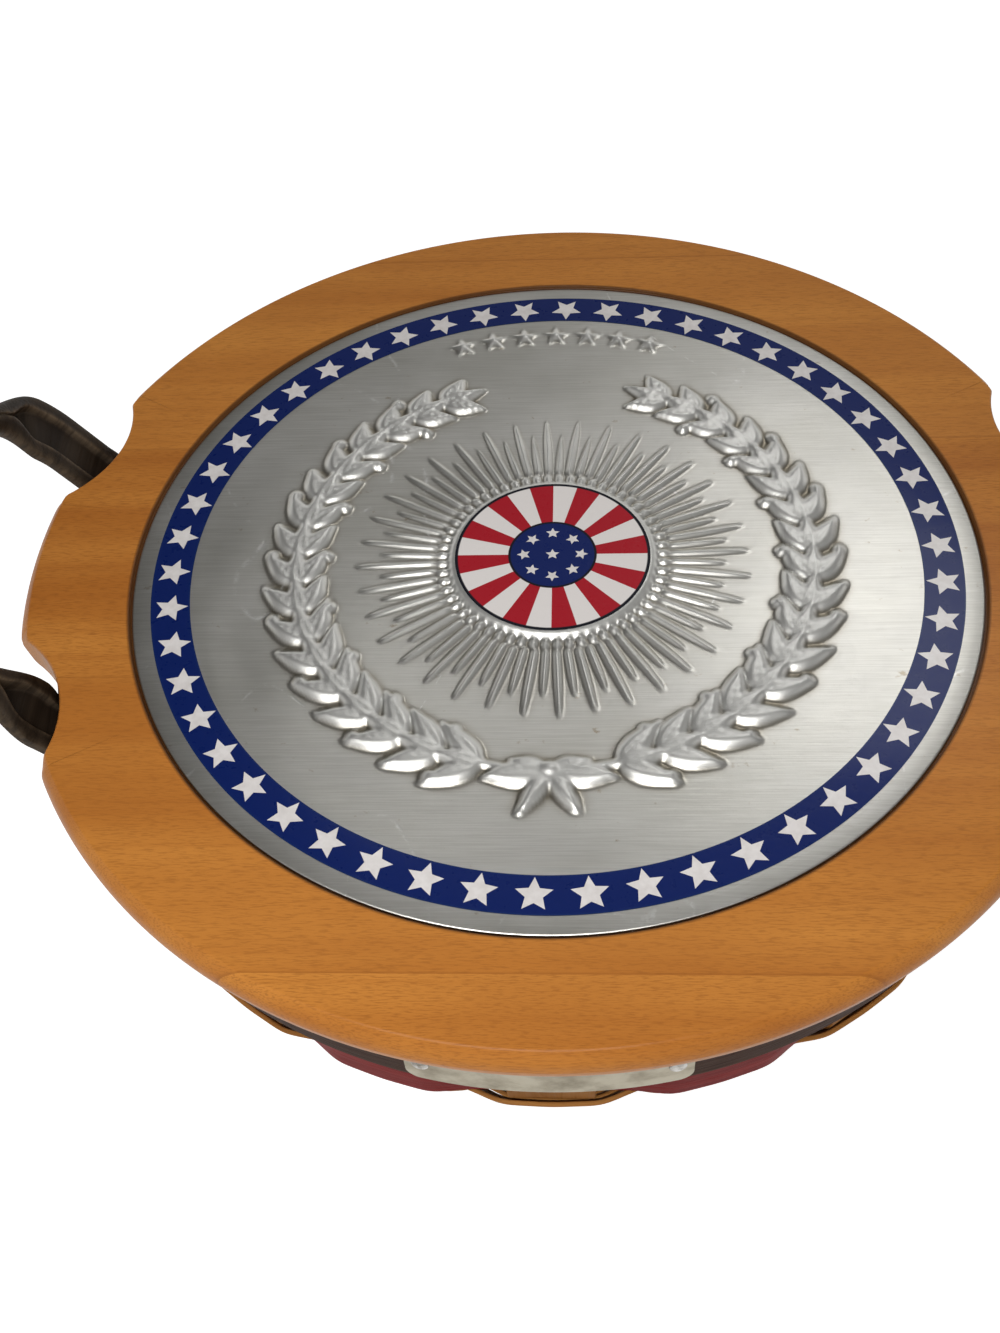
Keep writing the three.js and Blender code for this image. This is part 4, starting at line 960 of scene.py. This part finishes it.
def star_films(name, centres, headings, radius, low, high):
    """Flat five-point stars as closed films in one mesh: ten outline points by turns at the radius and at .47
    of it round each centre, on two levels, with a middle point for the fan of the top and of the bottom."""
    spin = headings[:, None] + np.arange(10) * np.pi / 5
    reach = radius * np.where(np.arange(10) % 2, 0.47, 1.0)
    flat = np.stack([np.cos(spin), np.sin(spin)], -1) * reach[:, None] + centres[:, None]
    flat = np.concatenate([flat, centres[:, None]], 1)
    levels = [np.concatenate([flat, np.full((*flat.shape[:2], 1), z)], 2) for z in (low, high)]
    points = np.concatenate(levels, 1).reshape(-1, 3) / 1000
    k = np.arange(10)
    after = (k + 1) % 10
    fans = [np.stack([k * 0 + 10, after, k], 1), np.stack([k * 0 + 21, k + 11, after + 11], 1)]
    sides = [np.stack([k, after, after + 11], 1), np.stack([k, after + 11, k + 11], 1)]
    one = np.concatenate([*fans, *sides])
    faces = (one[None] + 22 * np.arange(len(centres))[:, None, None]).reshape(-1, 3)
    mesh = bpy.data.meshes.new(name)
    mesh.from_pydata(points.tolist(), [], faces.tolist())
    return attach(placed(name, mesh), "lid")


band_stars = 50
first_star = -178.13
band_middle = 0.9087 * plate_radius
star_turn = np.radians(first_star + np.arange(band_stars) * 360 / band_stars)
star_centres = band_middle * outward(star_turn)[:, :2]
headings = star_turn + np.pi
white_stars = star_films("enamel_band_stars", star_centres, headings, star_radius, film_low, star_high)
white, tree, shader = finish("white enamel", Specular_IOR_Level=0.6, Coat_Weight=0.6, Coat_Roughness=0.2)
peel = glazed(tree, shader)
chalk = ramp(tree, peel, (0.3, srgb(214, 208, 204)), (0.7, srgb(228, 223, 220)))
painted(tree, shader, chalk, ramp(tree, peel, (0.3, 0.3), (0.7, 0.4)))
white_stars.data.materials.append(white)

# On the boss lies an enamelled cockade: twelve red and twelve white rays round a blue middle, with a dark
# outline, and white stars printed on the blue.
cockade_low = plate_top + boss_rise + 0.02
cockade_high = plate_top + boss_rise + 0.12
button = [(0, cockade_low), (29.2, cockade_low), (29.4, cockade_high - 0.03), (29.2, cockade_high)]
button += [(13, cockade_high), (0, cockade_high)]
cockade = skin("enamel_cockade", lathed(full_turn(192), button), "lid", ring=True, poles=True)
rosette, tree, shader = finish("cockade enamel", **glaze)
place = node(tree, "SeparateXYZ", {0: on_object(tree)}).outputs
stripe_pairs = 12
bearing = reckoned(tree, "ARCTAN2", place["Y"], place["X"])
part = reckoned(tree, "FRACT", reckoned(tree, "MULTIPLY", bearing, stripe_pairs / (2 * np.pi)))
red, pale = srgb(166, 18, 34), srgb(228, 222, 218)
striped = ramp(tree, part, (0.0, red), (0.495, red), (0.505, pale), (1.0, pale))
scaled = rescaled(tree, from_middle(tree), 0.0, 0.03)
middle_blue = ramp(tree, scaled, (0.0, 1.0), (0.428, 1.0), (0.432, 0.0), (1.0, 0.0))
inner_line = ((0.0, 0.0), (0.418, 0.0), (0.422, 1.0), (0.442, 1.0), (0.446, 0.0))
outline = ramp(tree, scaled, *inner_line, (0.945, 0.0), (0.952, 1.0), (1.0, 1.0))
colour = blended(tree, middle_blue, striped, srgb(0, 27, 90))
colour = blended(tree, outline, colour, srgb(8, 10, 24))
painted(tree, shader, colour, ramp(tree, glazed(tree, shader), (0.3, 0.26), (0.7, 0.36)))
cockade.data.materials.append(rosette)
ring_turn = np.radians(90 + 45 * np.arange(8))
centres = np.vstack([[[0, 0]], 8.6 * outward(ring_turn)[:, :2]])
headings = np.r_[np.pi / 2, ring_turn]
small_stars = star_films("enamel_cockade_stars", centres, headings, 2.1, cockade_low, cockade_high + 0.05)
small_stars.data.materials.append(white)

# Under the lid a disc of birch plywood drops into the rim and keeps the lid in place. Four countersunk
# steel screws hold it. Both keep the shape of the frame and get their finish here.
birch, tree, shader = finish("birch plywood", Specular_IOR_Level=0.35)
coords = on_object(tree)
face_grain = streaks(tree, coords, (8, 160, 30), detail=4)
pores = streaks(tree, coords, (60, 1300, 400), detail=2)
height = node(tree, "SeparateXYZ", {0: coords}).outputs["Z"]
ply_thickness = 1.2
plies = reckoned(tree, "FRACT", reckoned(tree, "MULTIPLY", height, 1000 / ply_thickness))
tone = ramp(tree, face_grain, (0.3, 0.0), (0.7, 1.0))
colour = blended(tree, tone, srgb(206, 168, 116), srgb(226, 194, 146))
colour = blended(tree, ramp(tree, pores, (0.58, 0.0), (0.7, 0.5)), colour, srgb(150, 108, 64))
glue = ramp(tree, plies, (0.0, 0.75), (0.12, 0.75), (0.2, 0.0))
facing = node(tree, "SeparateXYZ", {0: node(tree, "NewGeometry").outputs["Normal"]}).outputs["Z"]
on_edge = reckoned(tree, "LESS_THAN", reckoned(tree, "ABSOLUTE", facing), 0.3)
colour = blended(tree, reckoned(tree, "MULTIPLY", glue, on_edge), colour, srgb(112, 74, 44))
painted(tree, shader, colour, ramp(tree, pores, (0.3, 0.5), (0.7, 0.7)))
bumped(tree, shader, pores, 0.0001, 0.5)
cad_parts["locating_disc"].material_slots[0].material = birch
for index in range(4):
    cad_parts[f"disc_screw_{index + 1}"].material_slots[0].material = steel

# Stage: a plain pale floor, a studio with soft light from all round, two soft boxes and a small ceiling
# lamp, and the camera of the photograph, which looks down on the lid from the front at 48 degrees.
mesh = bpy.data.meshes.new("floor")
mesh.from_pydata([(-6, -6, 0), (6, -6, 0), (6, 6, 0), (-6, 6, 0)], [], [(0, 1, 2, 3)])
placed("floor", mesh)
paper, tree, shader = finish("floor paper", Roughness=0.9, Specular_IOR_Level=0.0)


def seen_rays(tree):
    """One for a ray that shows the background: from the camera, off a glossy surface or through glass."""
    ray = node(tree, "LightPath").outputs
    seen = reckoned(tree, "MAXIMUM", ray["Is Camera Ray"], ray["Is Glossy Ray"])
    return reckoned(tree, "MAXIMUM", seen, ray["Is Transmission Ray"])


seen = seen_rays(tree)
tree.links.new(blended(tree, seen, (0.5, 0.5, 0.5, 1), (0.8, 0.8, 0.8, 1)), shader.inputs["Base Color"])
shader.inputs["Emission Color"].default_value = (1, 1, 1, 1)
tree.links.new(reckoned(tree, "MULTIPLY", seen, 0.77), shader.inputs["Emission Strength"])
mesh.materials.append(paper)

world = bpy.data.worlds.new("studio")
bpy.context.scene.world = world
world.use_nodes = True
tree = world.node_tree
direction = node(tree, "SeparateXYZ", {0: node(tree, "TexCoord").outputs["Generated"]}).outputs
# What the plate mirrors of the room behind it: dark on the left, lighter from the middle to the right
dark_side = ((0.0, 0.15), (0.25, 0.08), (0.38, 0.1))
light_side = ((0.45, 0.27), (0.52, 0.3), (0.6, 0.3), (0.7, 0.25), (1.0, 0.2))
mirrored = ramp(tree, rescaled(tree, direction["X"], -1.0, 1.0), *dark_side, *light_side)
behind = rescaled(tree, direction["Y"], -0.1, 0.3)
ceiling = blended(tree, behind, (0.25, 0.25, 0.25, 1), mirrored)
around = rescaled(tree, direction["Y"], -0.8, 0.2, 0.6, 1.5)
horizon = blended(tree, seen_rays(tree), around, (1, 1, 1, 1))
low = ramp(tree, direction["Z"], (0.2, 1.0), (0.36, 0.0))
studio = blended(tree, low, ceiling, horizon)
# The camera itself sees plain white
from_camera = node(tree, "LightPath").outputs["Is Camera Ray"]
tree.links.new(blended(tree, from_camera, studio, (1, 1, 1, 1)), tree.nodes["Background"].inputs["Color"])


def soft_box(name, place, aim, width, depth, power):
    """Area lamp of that width and depth in metres, at a place and turned to shine on aim."""
    lamp = bpy.data.lights.new(name, "AREA")
    lamp.shape = "RECTANGLE"
    lamp.size, lamp.size_y = width, depth
    lamp.energy = power
    holder = placed(name, lamp)
    holder.visible_camera = False
    away = unit(np.array(place) - np.array(aim))
    right = unit(np.cross([0, 0, 1], away))
    axes = np.stack([right, np.cross(away, right), away], 1)
    holder.matrix_world = Matrix.LocRotScale(place, Matrix(axes.tolist()).to_quaternion(), None)


soft_box("front soft box", (-0.06, -0.35, 0.54), (0, -0.04, 0.15), 0.3, 0.3, 1.68)
soft_box("window", (0.36, 0.97, 1.4), (0, 0, 0.16), 0.45, 0.3, 1.45)
soft_box("ceiling lamp", (-0.197, 0.677, 1.216), (0, 0, 0.16), 0.12, 0.12, 0.2)

camera = placed("camera", bpy.data.cameras.new("camera"))
bpy.context.scene.camera = camera
camera.data.lens = 42.48
camera.data.sensor_width = 36.0
camera_elevation = np.radians(48.16)
camera_distance = 475.4


def turn_by(degrees, axis):
    """Matrix of a turn about one of the axes."""
    return np.array(Matrix.Rotation(np.radians(degrees), 3, axis))


yaw = turn_by(2.3, "Z")
spot = camera_distance * np.array([0, -np.cos(camera_elevation), np.sin(camera_elevation)])
ahead = -spot / camera_distance
level = np.array([1.0, 0, 0])
aimed = np.stack([level, -np.cross(level, ahead), ahead])
view_rows = turn_by(-2.35, "Z") @ turn_by(3.87, "X") @ turn_by(2.07, "Y") @ aimed
axes = yaw @ (view_rows * [[1], [-1], [-1]]).T
where = yaw @ spot / 1000 + [0, 0, lid_top / 1000]
camera.matrix_world = Matrix.LocRotScale(where.tolist(), Matrix(axes.tolist()).to_quaternion(), None)

bpy.context.scene.view_settings.view_transform = "Standard"
